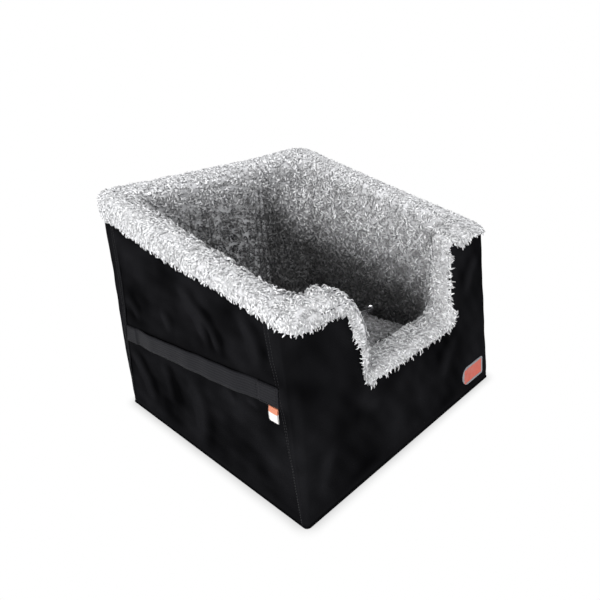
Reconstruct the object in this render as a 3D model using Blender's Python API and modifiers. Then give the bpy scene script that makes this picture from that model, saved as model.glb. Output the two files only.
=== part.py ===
"""Dog car seat: a padded booster tub with a fleece rim, a lift-out cushion and a leash.

Metres, +Z up, -Y to the front, where the rim dips in a wide notch. The origin is
the centre of the base. Walls are lofts between sections that run round the tub.
"""
import math

import bmesh
import bpy
import numpy as np
from mathutils import Matrix, Vector

# Running and sewing gaps
GAP = 0.0003

# Tub, measured over its cover at the foot
TUB_WIDTH = 0.508
TUB_DEPTH = 0.484
SIDE_WALL = 0.064
FRONT_WALL = 0.070
REAR_WALL = 0.052
LEAN_HEIGHT = 0.313
SIDE_LEAN = 0.012
FRONT_LEAN = 0.019
FOOT_CORNER = 0.006
TOP_CORNER = 0.018
CABIN_CORNER = 0.022
LEAST_CORNER = 0.002
WELD = 0.000002

# Rim, at the top of the fleece
FRONT_RIM = 0.320
REAR_RIM = 0.416
RIM_ROLL = 0.018
FRONT_OVERLAP = 0.026
REAR_OVERLAP = 0.043

# Notch in the front wall
NOTCH_WIDTH = 0.252
NOTCH_SPLAY = 0.004
LEDGE_HEIGHT = 0.175
NOTCH_FLOOR_ROUND = 0.018
POST_ROUND = 0.024

# Layers of a wall, from the outside in
COVER = 0.0015
WALL_BOARD = 0.003
LINER_SIDE = 0.008
LINER_TOP = 0.009
LINER_OUTSIDE = 0.006
CORE_ROLL = 0.012
COVER_TUCK = 0.0005
NOTCH_EASE = 0.003
BASE_RIDGE = 0.0015

# Floor, from the base up
BASE_BOARD = 0.004
BOOSTER = 0.064
FLOOR_LINER = 0.003

# Cushion
CUSHION_PLAY = 0.004
CUSHION_CORNER = 0.026
CUSHION_PULL = 0.006
CUSHION_BASE = 0.0015
CUSHION_SHELL = 0.004
CUSHION_SIDE = 0.030
CUSHION_CROWN = 0.006
CUSHION_SHOULDER = 0.075
CUSHION_WELT = 0.003
# (inset as a share of the shoulder, height as a share of the side, share of the crown)
CUSHION_PROFILE_SHARES = (
    (0.04, 0.0, 0.0),
    (0.0, 0.35, 0.0),
    (0.02, 0.66, 0.0),
    (0.12, 0.90, 0.0),
    (0.32, 1.0, 0.15),
    (0.62, 1.0, 0.55),
    (1.0, 1.0, 0.86),
    (1.6, 1.0, 1.0),
)

# Belt straps on both sides
WEBBING_WIDTH = 0.025
WEBBING = 0.0018
BELT_FRONT_HEIGHT = 0.194
BELT_REAR_HEIGHT = 0.149
BELT_SLACK = 0.0072
BELT_SEWN = 0.055
BELT_RISE = 0.030

# Patch and tag
PATCH_WIDTH = 0.071
PATCH_HEIGHT = 0.037
PATCH = 0.002
PATCH_ROUND = 0.009
PATCH_FROM_SIDE = 0.023
PATCH_Z = 0.039
PATCH_EDGE = 0.0005
TAG_WIDTH = 0.021
TAG_DROP = 0.026
TAG_RIBBON = 0.0007
TAG_FROM_FRONT = 0.030

# Leash: the frame of its straight end, with the eye's bar at its origin
LEASH_X = 0.100
LEASH_Y = -0.0164
LEASH_HEADING = math.radians(-12)
LEASH_ABOVE_CUSHION = 0.0145
RETURN_LENGTH = 0.060
RETURN_RAMP = 0.013
STRAIGHT_SPARE = 0.009

# Anchor tab on the inside of the left wall
ANCHOR_WIDTH = 0.036
ANCHOR_HEIGHT = 0.030
ANCHOR = 0.0016
ANCHOR_Y = 0.0216
ANCHOR_ABOVE_FLOOR = 0.005
ANCHOR_EDGE = 0.0004

# Slider on the leash
SLIDER_WIRE = 0.0015
SLIDER_LENGTH = 0.019
SLIDER_SIDE_PLAY = 0.001
SLIDER_TRAVEL = 0.035
SLIDER_BEND = 0.0012

# Swivel snap, along its own axis from the eye's bar
EYE_WIRE = 0.002
EYE_LENGTH = 0.012
EYE_SIDE_PLAY = 0.001
EYE_ROUND = 0.003
POST_RADIUS = 0.0025
POST_HEAD_RADIUS = 0.0037
POST_HEAD = 0.0022
RUNNING = 0.0002
SNAP_REAR_PLAY = 0.001
SNAP_LENGTH = 0.026
SNAP_HALF_WIDTH = 0.0102
SNAP_COLLAR = 0.0060
SNAP_COLLAR_LENGTH = 0.004
SNAP_SHOULDER = 0.004
SNAP_THICKNESS = 0.009
SNAP_EDGE = 0.0022
SOCKET_WALL = 0.0045
HOOK_RADIUS = 0.0070
HOOK_WIRE = 0.00275
HOOK_ARM = 0.015
HOOK_LIP = 0.0015
HOOK_ROOT = 0.004
BOLT_RADIUS = 0.0023
BOLT_TRAVEL = 0.007
BORE_REAR_WALL = 0.002
SPRING_LENGTH = 0.0118
SPRING_WIRE = 0.00025
SPRING_RADIUS = 0.0018
SPRING_TURNS = 6
STUD_RADIUS = 0.0015
STUD_REACH = 0.0055
STUD_HEAD_RADIUS = 0.0024
STUD_HEAD = 0.0015
STUD_FROM_REAR = 0.004

# Cutters run past the solid by this much
OVERRUN = 0.002

# Counts
ARC_STEPS = 4
ROLL_STEPS = 3
NOTCH_STATIONS = 21
FILLET_STEPS = 5
ROUND_SIDES = 20
SETTLE_STEPS = 4
CUSHION_SIDE_STEPS = 7
BELT_STEPS = 4
COIL_STEPS = 8

# Worked out from the sizes above
REAR_OVERHANG = GAP + LINER_OUTSIDE
CENTRE_SHIFT = (REAR_OVERHANG - BASE_RIDGE) / 2
FRONT_Y = -TUB_DEPTH / 2 - CENTRE_SHIFT
REAR_Y = TUB_DEPTH / 2 - CENTRE_SHIFT
CABIN_HALF = TUB_WIDTH / 2 - SIDE_WALL
CABIN_FRONT = FRONT_Y + FRONT_WALL
CABIN_REAR = REAR_Y - REAR_WALL
WALL_FOOT = COVER + GAP + BASE_BOARD + GAP
BOOSTER_TOP = WALL_FOOT + BOOSTER
LINER_FOOT = BOOSTER_TOP + GAP
FLOOR_TOP = LINER_FOOT + FLOOR_LINER
CUSHION_FOOT = FLOOR_TOP + GAP
CUSHION_SEAM = CUSHION_FOOT + CUSHION_BASE + GAP
CUSHION_TOP = CUSHION_SEAM + CUSHION_SIDE + CUSHION_CROWN
LEASH_Z = CUSHION_TOP + LEASH_ABOVE_CUSHION
BOARD_INSET = COVER + GAP
FOAM_INSET = BOARD_INSET + WALL_BOARD + GAP
FOAM_OUTSET = LINER_SIDE + GAP
BOARD_DEPTH = LINER_TOP + CORE_ROLL + COVER_TUCK
WRAP_RADIUS = EYE_WIRE + GAP + WEBBING / 2
STRAP_DROP = -WRAP_RADIUS
SLIDER_REST = RETURN_LENGTH + GAP + SLIDER_WIRE + SLIDER_LENGTH
STRAIGHT_LENGTH = SLIDER_REST + SLIDER_WIRE + SLIDER_TRAVEL + STRAIGHT_SPARE
LAYER_STEP = WEBBING + GAP

FRONT, RIGHT, REAR, LEFT = range(4)
WALL_NAMES = ("front", "right", "rear", "left")


def clear_scene():
    for item in list(bpy.data.objects):
        bpy.data.objects.remove(item, do_unlink=True)


def new_collection(name):
    group = bpy.data.collections.new(name)
    bpy.context.scene.collection.children.link(group)
    return group


def make_material(name, colour, roughness, metallic=0.0):
    finish = bpy.data.materials.new(name)
    finish.use_nodes = True
    shader = finish.node_tree.nodes["Principled BSDF"]
    shader.inputs["Base Color"].default_value = (*colour, 1.0)
    shader.inputs["Roughness"].default_value = roughness
    shader.inputs["Metallic"].default_value = metallic
    return finish


clear_scene()
PARTS = new_collection("dog_car_seat")
CUTTERS = new_collection("cutters")
CLOTH = make_material("black_cloth", (0.02, 0.02, 0.022), 0.75)
FLEECE = make_material("grey_fleece", (0.62, 0.62, 0.64), 0.95)
BOARD = make_material("board", (0.30, 0.30, 0.31), 0.6)
FOAM = make_material("foam", (0.80, 0.78, 0.72), 0.9)
STRAP = make_material("black_webbing", (0.015, 0.015, 0.017), 0.65)
CHROME = make_material("chrome", (0.75, 0.75, 0.76), 0.18, 1.0)
SPRING_STEEL = make_material("spring_steel", (0.55, 0.55, 0.57), 0.3, 1.0)
RUBBER = make_material("patch_rubber", (0.62, 0.20, 0.08), 0.55)
RIBBON = make_material("tag_ribbon", (0.75, 0.45, 0.28), 0.8)


def place(name, mesh, finish, parent=None, smooth_below=None):
    """Put a finished mesh in the parts collection as one named piece."""
    item = bpy.data.objects.new(name, mesh)
    PARTS.objects.link(item)
    mesh.materials.clear()
    mesh.materials.append(finish)
    if parent is not None:
        item.parent = parent
    if smooth_below is not None:
        mesh.shade_smooth()
        mesh.set_sharp_from_angle(angle=smooth_below)
    return item


def make_empty(name, matrix, parent=None):
    item = bpy.data.objects.new(name, None)
    PARTS.objects.link(item)
    item.parent = parent
    item.matrix_world = matrix
    return item


def loft(name, sections):
    """Mesh of one closed body through equal loops of points, capped at both ends."""
    form = bmesh.new()
    loops = [[form.verts.new(point) for point in section] for section in sections]
    for here, there in zip(loops[:-1], loops[1:]):
        count = len(here)
        for k in range(count):
            after = (k + 1) % count
            form.faces.new((here[k], here[after], there[after], there[k]))
    form.faces.new(loops[0][::-1])
    form.faces.new(loops[-1])
    bmesh.ops.recalc_face_normals(form, faces=form.faces)
    mesh = bpy.data.meshes.new(name)
    form.to_mesh(mesh)
    form.free()
    return mesh


# Rounded rectangles that the walls follow


class Ring:
    """A rounded rectangle seen from above."""

    def __init__(self, half, front, rear, radius):
        self.half = half
        self.front = front
        self.rear = rear
        self.radius = radius

    def centre(self, corner):
        """Centre of a corner's arc; corners run front left, front right, rear right, rear left."""
        x = (self.half - self.radius) * (1 if corner in (1, 2) else -1)
        y = self.rear - self.radius if corner in (2, 3) else self.front + self.radius
        return Vector((x, y))

    def on_arc(self, corner, angle):
        turn = Vector((math.cos(angle), math.sin(angle)))
        return self.centre(corner) + self.radius * turn


def outer_ring(z, inset):
    """The tub's outline at one height, drawn in by an inset."""
    rise = z / LEAN_HEIGHT
    half = TUB_WIDTH / 2 - SIDE_LEAN * rise - inset
    front = FRONT_Y + FRONT_LEAN * rise + inset
    radius = FOOT_CORNER + (TOP_CORNER - FOOT_CORNER) * rise - inset
    return Ring(half, front, REAR_Y - inset, max(radius, LEAST_CORNER))


def inner_ring(outset):
    """The cabin's outline, let out by an outset."""
    half = CABIN_HALF + outset
    radius = CABIN_CORNER + outset
    return Ring(half, CABIN_FRONT - outset, CABIN_REAR + outset, radius)


def arc_start(corner):
    return math.pi + corner * math.pi / 2


def mitre_line(corner):
    """Start and direction, from above, of the seam through a corner of the walls."""
    middle = arc_start(corner) + math.pi / 4
    start = inner_ring(0).on_arc(corner, middle)
    end = outer_ring(0, 0).on_arc(corner, middle)
    return start, (end - start).normalized()


MITRES = [mitre_line(corner) for corner in range(4)]


def mitre_angle(ring, corner):
    """Angle on a ring's corner arc where the corner seam crosses it."""
    start, along = MITRES[corner]
    centre = ring.centre(corner)
    offset = start - centre
    half_b = offset.dot(along)
    inside = half_b * half_b - offset.length_squared + ring.radius ** 2
    reach = -half_b + math.sqrt(max(inside, 0.0))
    crossing = start + along * reach - centre
    angle = math.atan2(crossing.y, crossing.x)
    while angle < arc_start(corner):
        angle += 2 * math.pi
    return angle


class Station:
    """A place along a wall: on a corner's arc, from -1 through the seam at 0 to 1, or on a straight."""

    def __init__(self, corner=None, share=0.0, along=None):
        self.corner = corner
        self.share = share
        self.along = along

    def on(self, ring, wall):
        if self.along is not None:
            if wall in (FRONT, REAR):
                return Vector((self.along, ring.front if wall == FRONT else ring.rear))
            side = ring.half if wall == RIGHT else -ring.half
            return Vector((side, self.along))
        seam = mitre_angle(ring, self.corner)
        start = arc_start(self.corner)
        end = start + math.pi / 2
        if self.share < 0:
            angle = seam + (seam - start) * self.share
        else:
            angle = seam + (end - seam) * self.share
        return ring.on_arc(self.corner, angle)


# Heights of the rim


FRONT_MIDDLE = (CABIN_FRONT + outer_ring(FRONT_RIM, 0).front) / 2
REAR_MIDDLE = (CABIN_REAR + REAR_Y) / 2


def along_rim(y):
    """Share of the way from the middle of the front wall to the middle of the rear wall."""
    return (y - FRONT_MIDDLE) / (REAR_MIDDLE - FRONT_MIDDLE)


def fillet(corner, before, after, radius):
    """Arc that rounds a corner between two unit directions leaving it, as points."""
    half = before.angle(after) / 2
    to_centre = (before + after).normalized() * (radius / math.sin(half))
    centre = corner + to_centre
    start = corner + before * (radius / math.tan(half)) - centre
    end = corner + after * (radius / math.tan(half)) - centre
    first = math.atan2(start.y, start.x)
    turn = math.atan2(start.x * end.y - start.y * end.x, start.dot(end))
    steps = [first + turn * k / FILLET_STEPS for k in range(FILLET_STEPS + 1)]
    return [centre + radius * Vector((math.cos(a), math.sin(a))) for a in steps]


def notch_line(depth):
    """Right half of the notch's edge, moved into the wall by a depth, as (x, z) points."""
    slope = Vector((NOTCH_SPLAY, FRONT_RIM - LEDGE_HEIGHT)).normalized()
    outward = Vector((slope.y, -slope.x))
    base = Vector((NOTCH_WIDTH / 2, LEDGE_HEIGHT)) + outward * depth
    floor = LEDGE_HEIGHT - depth
    top = FRONT_RIM - depth
    low = base + slope * ((floor - base.y) / slope.y)
    high = base + slope * ((top - base.y) / slope.y)
    level = Vector((1, 0))
    post_radius = max(POST_ROUND - depth, LEAST_CORNER)
    points = [Vector((0, floor))]
    points += fillet(low, -level, slope, NOTCH_FLOOR_ROUND + depth)
    points += fillet(high, -slope, level, post_radius)
    points.append(Vector((TUB_WIDTH / 2, top)))
    return [p.x for p in points], [p.y for p in points]


NOTCH_LINES = {}


def rim_height(station, wall, depth, y):
    """Height of the rim at a point of a station, a depth below the fleece's top."""
    rise = (REAR_RIM - FRONT_RIM) * along_rim(y)
    if wall == FRONT and station.along is not None:
        if depth not in NOTCH_LINES:
            NOTCH_LINES[depth] = notch_line(depth)
        xs, zs = NOTCH_LINES[depth]
        edge = float(np.interp(abs(station.along), xs, zs))
        up = (edge + depth - LEDGE_HEIGHT) / (FRONT_RIM - LEDGE_HEIGHT)
        return edge + rise * min(max(up, 0.0), 1.0)
    return FRONT_RIM + rise - depth


def overlap_depth(y):
    """How far the fleece reaches down the outside."""
    return FRONT_OVERLAP + (REAR_OVERLAP - FRONT_OVERLAP) * along_rim(y)


def settle(station, wall, depth, place_at):
    """A point whose place from above depends on its height, which depends on its place."""
    z = FRONT_RIM
    for _ in range(SETTLE_STEPS):
        flat = place_at(z)
        fall = depth(flat.y) if callable(depth) else depth
        z = rim_height(station, wall, fall, flat.y)
    flat = place_at(z)
    return (flat.x, flat.y, z)


# Sections of the walls


def arch(station, wall, outset, inset, depth, roll, inner_foot, outer_foot=None):
    """Points from the inner foot over the rolled top to the outer foot or the overlap's edge."""
    inner = station.on(inner_ring(outset), wall)

    def outer_at(z):
        return station.on(outer_ring(z, inset), wall)

    def rolled(angle, from_inside):
        side = roll * (1 - math.cos(angle))

        def place_at(z):
            outer = outer_at(z)
            share = side / (outer - inner).length
            return inner.lerp(outer, share if from_inside else 1 - share)

        return settle(station, wall, depth + roll * (1 - math.sin(angle)), place_at)

    angles = [math.pi / 2 * k / ROLL_STEPS for k in range(ROLL_STEPS + 1)]
    points = [(inner.x, inner.y, inner_foot)]
    points += [rolled(angle, True) for angle in angles]
    points += [rolled(angle, False) for angle in reversed(angles)]
    if outer_foot is None:
        points.append(settle(station, wall, overlap_depth, outer_at))
    else:
        foot = outer_at(outer_foot)
        points.append((foot.x, foot.y, outer_foot))
    return points


def liner_section(station, wall):
    skin = arch(station, wall, 0, -GAP - LINER_OUTSIDE, 0, RIM_ROLL, LINER_FOOT)
    lining = arch(station, wall, LINER_SIDE, -GAP, LINER_TOP, CORE_ROLL, LINER_FOOT)
    return skin + lining[::-1]


def foam_section(station, wall):
    depth = LINER_TOP + (NOTCH_EASE if wall == FRONT else GAP)
    return arch(station, wall, FOAM_OUTSET, FOAM_INSET, depth, CORE_ROLL, WALL_FOOT, WALL_FOOT)


def sheet_section(station, wall, inset, thickness, foot, depth):
    """A flat layer that follows the outside of the tub."""
    points = []
    for layer in (inset, inset + thickness):

        def place_at(z):
            return station.on(outer_ring(z, layer), wall)

        low = place_at(foot)
        ends = [(low.x, low.y, foot), settle(station, wall, depth, place_at)]
        points += ends if layer == inset else ends[::-1]
    return points


def board_section(station, wall):
    return sheet_section(station, wall, BOARD_INSET, WALL_BOARD, WALL_FOOT, BOARD_DEPTH)


def cover_section(station, wall):
    return sheet_section(station, wall, 0, COVER, COVER + GAP, BOARD_DEPTH)


def straight_stations(wall):
    """Stations on a wall's straight part; the front ones crowd at the notch's ends."""
    if wall != FRONT:
        return []
    near = NOTCH_WIDTH / 2 - NOTCH_FLOOR_ROUND
    far = NOTCH_WIDTH / 2 + NOTCH_SPLAY + FRONT_OVERLAP + LEAST_CORNER
    half = [float(x) for x in np.linspace(near, far, NOTCH_STATIONS)]
    return [Station(along=x) for x in [-x for x in half[::-1]] + [0.0] + half]


def wall_stations(wall, wrap):
    """Stations from one end of a wall to the other; wrap takes in the whole corner arcs."""
    first, last = wall, (wall + 1) % 4
    shares = [k / ARC_STEPS for k in range(ARC_STEPS + 1)]
    start = [Station(first, share) for share in shares]
    end = [Station(last, -share) for share in reversed(shares)]
    if wrap and wall in (FRONT, REAR):
        start = [Station(first, -share) for share in reversed(shares[1:])] + start
        end = end + [Station(last, share) for share in shares[1:]]
    elif wrap:
        start, end = start[-1:], end[:1]
    return start + straight_stations(wall) + end


def shrink_ends(sections, wall):
    """Leave a sewing gap at both ends of a wall."""
    turn = wall * math.pi / 2
    along = Vector((math.cos(turn), math.sin(turn), 0))
    first = [Vector(p) + along * GAP for p in sections[0]]
    last = [Vector(p) - along * GAP for p in sections[-1]]
    return [first] + sections[1:-1] + [last]


def shrink_wrapped_ends(sections, wall):
    """The same gap where a cover ends on the side of the tub."""
    if wall in (RIGHT, LEFT):
        return shrink_ends(sections, wall)
    back = Vector((0, -GAP if wall == FRONT else GAP, 0))
    first = [Vector(p) + back for p in sections[0]]
    last = [Vector(p) + back for p in sections[-1]]
    return [first] + sections[1:-1] + [last]


def notch_pieces(stations, sections):
    """The front liner in three pieces, cut where the notch's floor starts to round."""
    near = NOTCH_WIDTH / 2 - NOTCH_FLOOR_ROUND
    left = next(k for k, s in enumerate(stations) if s.along is not None and s.along >= -near)
    right = next(k for k, s in enumerate(stations) if s.along is not None and s.along >= near)

    def slid(section, side):
        return [Vector(p) + Vector((side * GAP / 2, 0, 0)) for p in section]

    return {
        "front_left_liner": sections[:left] + [slid(sections[left], -1)],
        "front_liner": [slid(sections[left], 1)] + sections[left + 1:right] + [slid(sections[right], -1)],
        "front_right_liner": [slid(sections[right], 1)] + sections[right + 1:],
    }


def build_walls(parent):
    layers = (
        ("cover", cover_section, CLOTH, True),
        ("board", board_section, BOARD, False),
        ("foam", foam_section, FOAM, False),
        ("liner", liner_section, FLEECE, False),
    )
    for layer, section, finish, wrap in layers:
        for wall, wall_name in enumerate(WALL_NAMES):
            stations = wall_stations(wall, wrap)
            sections = [section(station, wall) for station in stations]
            trim = shrink_wrapped_ends if wrap else shrink_ends
            pieces = {wall_name + "_" + layer: trim(sections, wall)}
            if section is liner_section and wall == FRONT:
                pieces = notch_pieces(stations, trim(sections, wall))
            for name, piece in pieces.items():
                place(name, loft(name, piece), finish, parent, math.radians(40))


# Floor plates and the cushion


def outline(ring, z, pull=0.0, side_steps=1):
    """A ring as a loop of points; pull draws in the middle of each side."""
    points = []
    for corner in range(4):
        start = arc_start(corner)
        for k in range(ARC_STEPS + 1):
            flat = ring.on_arc(corner, start + math.pi / 2 * k / ARC_STEPS)
            points.append((flat.x, flat.y, z))
        here = Vector(points[-1])
        there_flat = ring.on_arc((corner + 1) % 4, arc_start(corner + 1))
        there = Vector((there_flat.x, there_flat.y, z))
        turn = corner * math.pi / 2
        inward = Vector((-math.sin(turn), math.cos(turn), 0))
        for k in range(1, side_steps):
            share = k / side_steps
            point = here.lerp(there, share) + inward * pull * 4 * share * (1 - share)
            points.append(tuple(point))
    return points


def plate(name, low_ring, high_ring, low, high, finish, parent):
    mesh = loft(name, [outline(low_ring, low), outline(high_ring, high)])
    return place(name, mesh, finish, parent, math.radians(40))


def build_floor(parent):
    top = COVER
    plate("base_cover", outer_ring(0, -BASE_RIDGE), outer_ring(0, -BASE_RIDGE), 0, top, CLOTH, parent)
    low = top + GAP
    high = low + BASE_BOARD
    plate("base_board", outer_ring(low, BOARD_INSET), outer_ring(high, BOARD_INSET), low, high, BOARD, parent)
    block = inner_ring(LINER_SIDE)
    plate("booster_foam", block, block, WALL_FOOT, BOOSTER_TOP, FOAM, parent)
    floor = inner_ring(-GAP)
    plate("floor_liner", floor, floor, LINER_FOOT, FLOOR_TOP, FLEECE, parent)


def cushion_ring(inset):
    fit = inner_ring(-CUSHION_PLAY - inset)
    fit.radius = max(CUSHION_CORNER - inset, LEAST_CORNER)
    return fit


def cushion_loops(inset, lowered):
    """Loops of the cushion's crowned form, drawn in and lowered."""
    loops = []
    for across, up, crown in CUSHION_PROFILE_SHARES:
        step = inset + across * CUSHION_SHOULDER
        z = CUSHION_SEAM + (CUSHION_SIDE - lowered) * up + CUSHION_CROWN * crown
        fade = max(1 - across, 0)
        ring = cushion_ring(step)
        loops.append(outline(ring, z, CUSHION_PULL * fade, CUSHION_SIDE_STEPS))
    return loops


def build_cushion(parent):
    shell = cushion_loops(0, 0)
    lining = cushion_loops(CUSHION_SHELL, CUSHION_SHELL)
    core = cushion_loops(CUSHION_SHELL + GAP, CUSHION_SHELL + GAP)
    smooth = math.radians(50)
    cover = loft("cushion_cover", lining[::-1] + shell)
    place("cushion_cover", cover, FLEECE, parent, smooth)
    place("cushion_core", loft("cushion_core", core), FOAM, parent, smooth)
    edge = cushion_ring(CUSHION_WELT)
    loops = [
        outline(edge, CUSHION_FOOT, CUSHION_PULL, CUSHION_SIDE_STEPS),
        outline(edge, CUSHION_FOOT + CUSHION_BASE, CUSHION_PULL, CUSHION_SIDE_STEPS),
    ]
    place("cushion_base", loft("cushion_base", loops), CLOTH, parent, math.radians(40))


# Straps, patch and tag


def band(name, centres, widths, normals, width, thickness):
    """A flat strap through centre points, with its width and normal directions."""
    sections = []
    for centre, across, normal in zip(centres, widths, normals):
        middle = Vector(centre)
        side = Vector(across).normalized() * width / 2
        up = Vector(normal).normalized() * thickness / 2
        sections.append([middle - side - up, middle + side - up, middle + side + up, middle - side + up])
    return loft(name, sections)


def panel_half(z):
    return outer_ring(z, 0).half


def smooth_step(share):
    share = min(max(share, 0.0), 1.0)
    return share * share * (3 - 2 * share)


def belt_height(y, start, end):
    share = (y - start) / (end - start)
    return BELT_FRONT_HEIGHT + (BELT_REAR_HEIGHT - BELT_FRONT_HEIGHT) * share


def belt_ends():
    front = outer_ring(BELT_FRONT_HEIGHT, 0)
    rear = outer_ring(BELT_REAR_HEIGHT, 0)
    return front.front + front.radius, rear.rear - rear.radius


def belt_slack(y, start, end):
    """How far the strap stands off the panel: flat where it is sewn, bowed between."""
    inside = min(y - start, end - y) - BELT_SEWN
    return GAP + BELT_SLACK * smooth_step(inside / BELT_RISE)


def build_belt_strap(name, side, parent):
    start, end = belt_ends()
    sewn = [start, start + BELT_SEWN, end - BELT_SEWN, end]
    shares = [k / BELT_STEPS for k in range(1, BELT_STEPS + 1)]
    rising = [start + BELT_SEWN + BELT_RISE * share for share in shares]
    falling = [end - BELT_SEWN - BELT_RISE * share for share in shares]
    centres, widths, normals = [], [], []
    lean = SIDE_LEAN / LEAN_HEIGHT
    for y in sorted(sewn + rising + falling):
        z = belt_height(y, start, end)
        out = panel_half(z) + belt_slack(y, start, end) + WEBBING / 2
        centres.append((side * out, y, z))
        widths.append((-side * lean, 0, 1))
        normals.append((side, 0, lean))
    mesh = band(name, centres, widths, normals, WEBBING_WIDTH, WEBBING)
    place(name, mesh, STRAP, parent)


def rounded_plate(name, width, height, thickness, radius):
    """A flat rounded plate in the XY plane, centred, from a filled 2-D curve."""
    curve = bpy.data.curves.new(name, "CURVE")
    curve.dimensions = "2D"
    curve.fill_mode = "BOTH"
    curve.extrude = thickness / 2
    points = []
    ring = Ring(width / 2, -height / 2, height / 2, radius)
    for corner in range(4):
        for k in range(ARC_STEPS + 1):
            angle = arc_start(corner) + math.pi / 2 * k / ARC_STEPS
            flat = ring.on_arc(corner, angle)
            points.append((flat.x, flat.y, 0, 1))
    return curve_mesh(curve, [points], True)


def curve_mesh(curve, lines, closed):
    """Turn poly splines into a welded mesh and drop the curve."""
    for line in lines:
        spline = curve.splines.new("POLY")
        spline.points.add(len(line) - 1)
        for point, value in zip(spline.points, line):
            point.co = value
        spline.use_cyclic_u = closed
    item = bpy.data.objects.new(curve.name, curve)
    bpy.context.scene.collection.objects.link(item)
    bpy.context.view_layer.update()
    evaluated = item.evaluated_get(bpy.context.evaluated_depsgraph_get())
    mesh = bpy.data.meshes.new_from_object(evaluated)
    bpy.data.objects.remove(item, do_unlink=True)
    form = bmesh.new()
    form.from_mesh(mesh)
    bmesh.ops.remove_doubles(form, verts=form.verts, dist=WELD)
    bmesh.ops.recalc_face_normals(form, faces=form.faces)
    form.to_mesh(mesh)
    form.free()
    return mesh


def wire_mesh(name, points, radius, closed=False, resolution=3):
    """A round wire through points."""
    curve = bpy.data.curves.new(name, "CURVE")
    curve.dimensions = "3D"
    curve.bevel_depth = radius
    curve.bevel_resolution = resolution
    curve.use_fill_caps = not closed
    return curve_mesh(curve, [[(*point, 1) for point in points]], closed)


def build_patch(parent):
    mesh = rounded_plate("front_patch", PATCH_WIDTH, PATCH_HEIGHT, PATCH, PATCH_ROUND)
    patch = place("front_patch", mesh, RUBBER, parent)
    lean = math.atan2(FRONT_LEAN, LEAN_HEIGHT)
    stand = (GAP + PATCH / 2) / math.cos(lean)
    patch.rotation_euler = (math.pi / 2 - lean, 0, 0)
    across = TUB_WIDTH / 2 - PATCH_FROM_SIDE - PATCH_WIDTH / 2
    patch.location = (across, outer_ring(PATCH_Z, 0).front - stand, PATCH_Z)
    edge = patch.modifiers.new("edge", "BEVEL")
    edge.width = PATCH_EDGE
    edge.segments = 1
    edge.limit_method = "ANGLE"


def build_tag(parent):
    """A ribbon folded at its foot, hanging under the left belt strap."""
    start, end = belt_ends()
    y = start + TAG_FROM_FRONT
    slope = (BELT_FRONT_HEIGHT - BELT_REAR_HEIGHT) / (end - start)
    top = belt_height(y, start, end) - WEBBING_WIDTH / 2 - GAP - slope * TAG_WIDTH / 2
    lean = SIDE_LEAN / LEAN_HEIGHT
    fold = TAG_RIBBON / 2 + GAP / 2
    foot = top - TAG_DROP + fold
    middle = -(panel_half(foot) + GAP + TAG_RIBBON + GAP / 2)
    spots = [(middle + fold + (top - foot) * lean, top)]
    for k in range(2 * ARC_STEPS + 1):
        angle = -math.pi * k / (2 * ARC_STEPS)
        spots.append((middle + fold * math.cos(angle), foot + fold * math.sin(angle)))
    spots.append((middle - fold + (top - foot) * lean, top))
    centres = [(x, y, z) for x, z in spots]
    normals = []
    for k in range(len(centres)):
        before = Vector(centres[max(k - 1, 0)])
        after = Vector(centres[min(k + 1, len(centres) - 1)])
        normals.append((after - before).cross(Vector((0, 1, 0))))
    widths = [(0, 1, 0)] * len(centres)
    mesh = band("side_tag", centres, widths, normals, TAG_WIDTH, TAG_RIBBON)
    place("side_tag", mesh, RIBBON, parent, math.radians(40))


# Leash


LEASH_FRAME = Matrix.Translation((LEASH_X, LEASH_Y, LEASH_Z)) @ Matrix.Rotation(LEASH_HEADING, 4, "Z")

# Points of the leash before its straight end, chosen by hand, from the anchor up and over the cushion
LEASH_ROUTE = (
    (-0.1869, 0.0216, 0.0840),
    (-0.1869, 0.0216, 0.0960),
    (-0.1864, 0.0216, 0.1050),
    (-0.1835, 0.0217, 0.1135),
    (-0.1770, 0.0219, 0.1195),
    (-0.1670, 0.0224, 0.1220),
    (-0.1540, 0.0233, 0.1222),
    (-0.1280, 0.0250, 0.1212),
    (-0.0980, 0.0246, 0.1210),
    (-0.0680, 0.0196, 0.1214),
)


def smooth_route(points, steps):
    """Points on a smooth curve through the route's own points."""
    spots = [Vector(p) for p in points]
    ends = [2 * spots[0] - spots[1]] + spots + [2 * spots[-1] - spots[-2]]
    result = []
    for k in range(len(spots) - 1):
        a, b, c, d = ends[k:k + 4]
        for step in range(steps):
            t = step / steps
            result.append(0.5 * (
                2 * b + (c - a) * t + (2 * a - 5 * b + 4 * c - d) * t * t
                + (3 * b - a - 3 * c + d) * t * t * t))
    result.append(spots[-1])
    return result


def leash_centres():
    """Centre line of the single webbing, from the anchor to the eye's bar."""
    tail = [LEASH_FRAME @ Vector((-STRAIGHT_LENGTH * k / 3, 0, STRAP_DROP)) for k in (3, 2, 1, 0)]
    bend = len(LEASH_ROUTE) * 2
    route = smooth_route(list(LEASH_ROUTE) + tail, 2)
    ahead = LEASH_FRAME.to_3x3() @ Vector((1, 0, 0))
    straight = [tail[0], tail[-1] - ahead * GAP / 2]
    return route[:bend] + straight


def build_leash(parent):
    centres = leash_centres()
    widths, normals = [], []
    for k, centre in enumerate(centres):
        before = centres[max(k - 1, 0)]
        after = centres[min(k + 1, len(centres) - 1)]
        along = after - before
        heading = math.atan2(along.y, along.x) if math.hypot(along.x, along.y) > WEBBING / 2 else 0.0
        across = Vector((-math.sin(heading), math.cos(heading), 0))
        widths.append(across)
        normals.append(along.cross(across))
    mesh = band("leash_webbing", centres, widths, normals, WEBBING_WIDTH, WEBBING)
    place("leash_webbing", mesh, STRAP, parent)
    build_return(parent)


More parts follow.
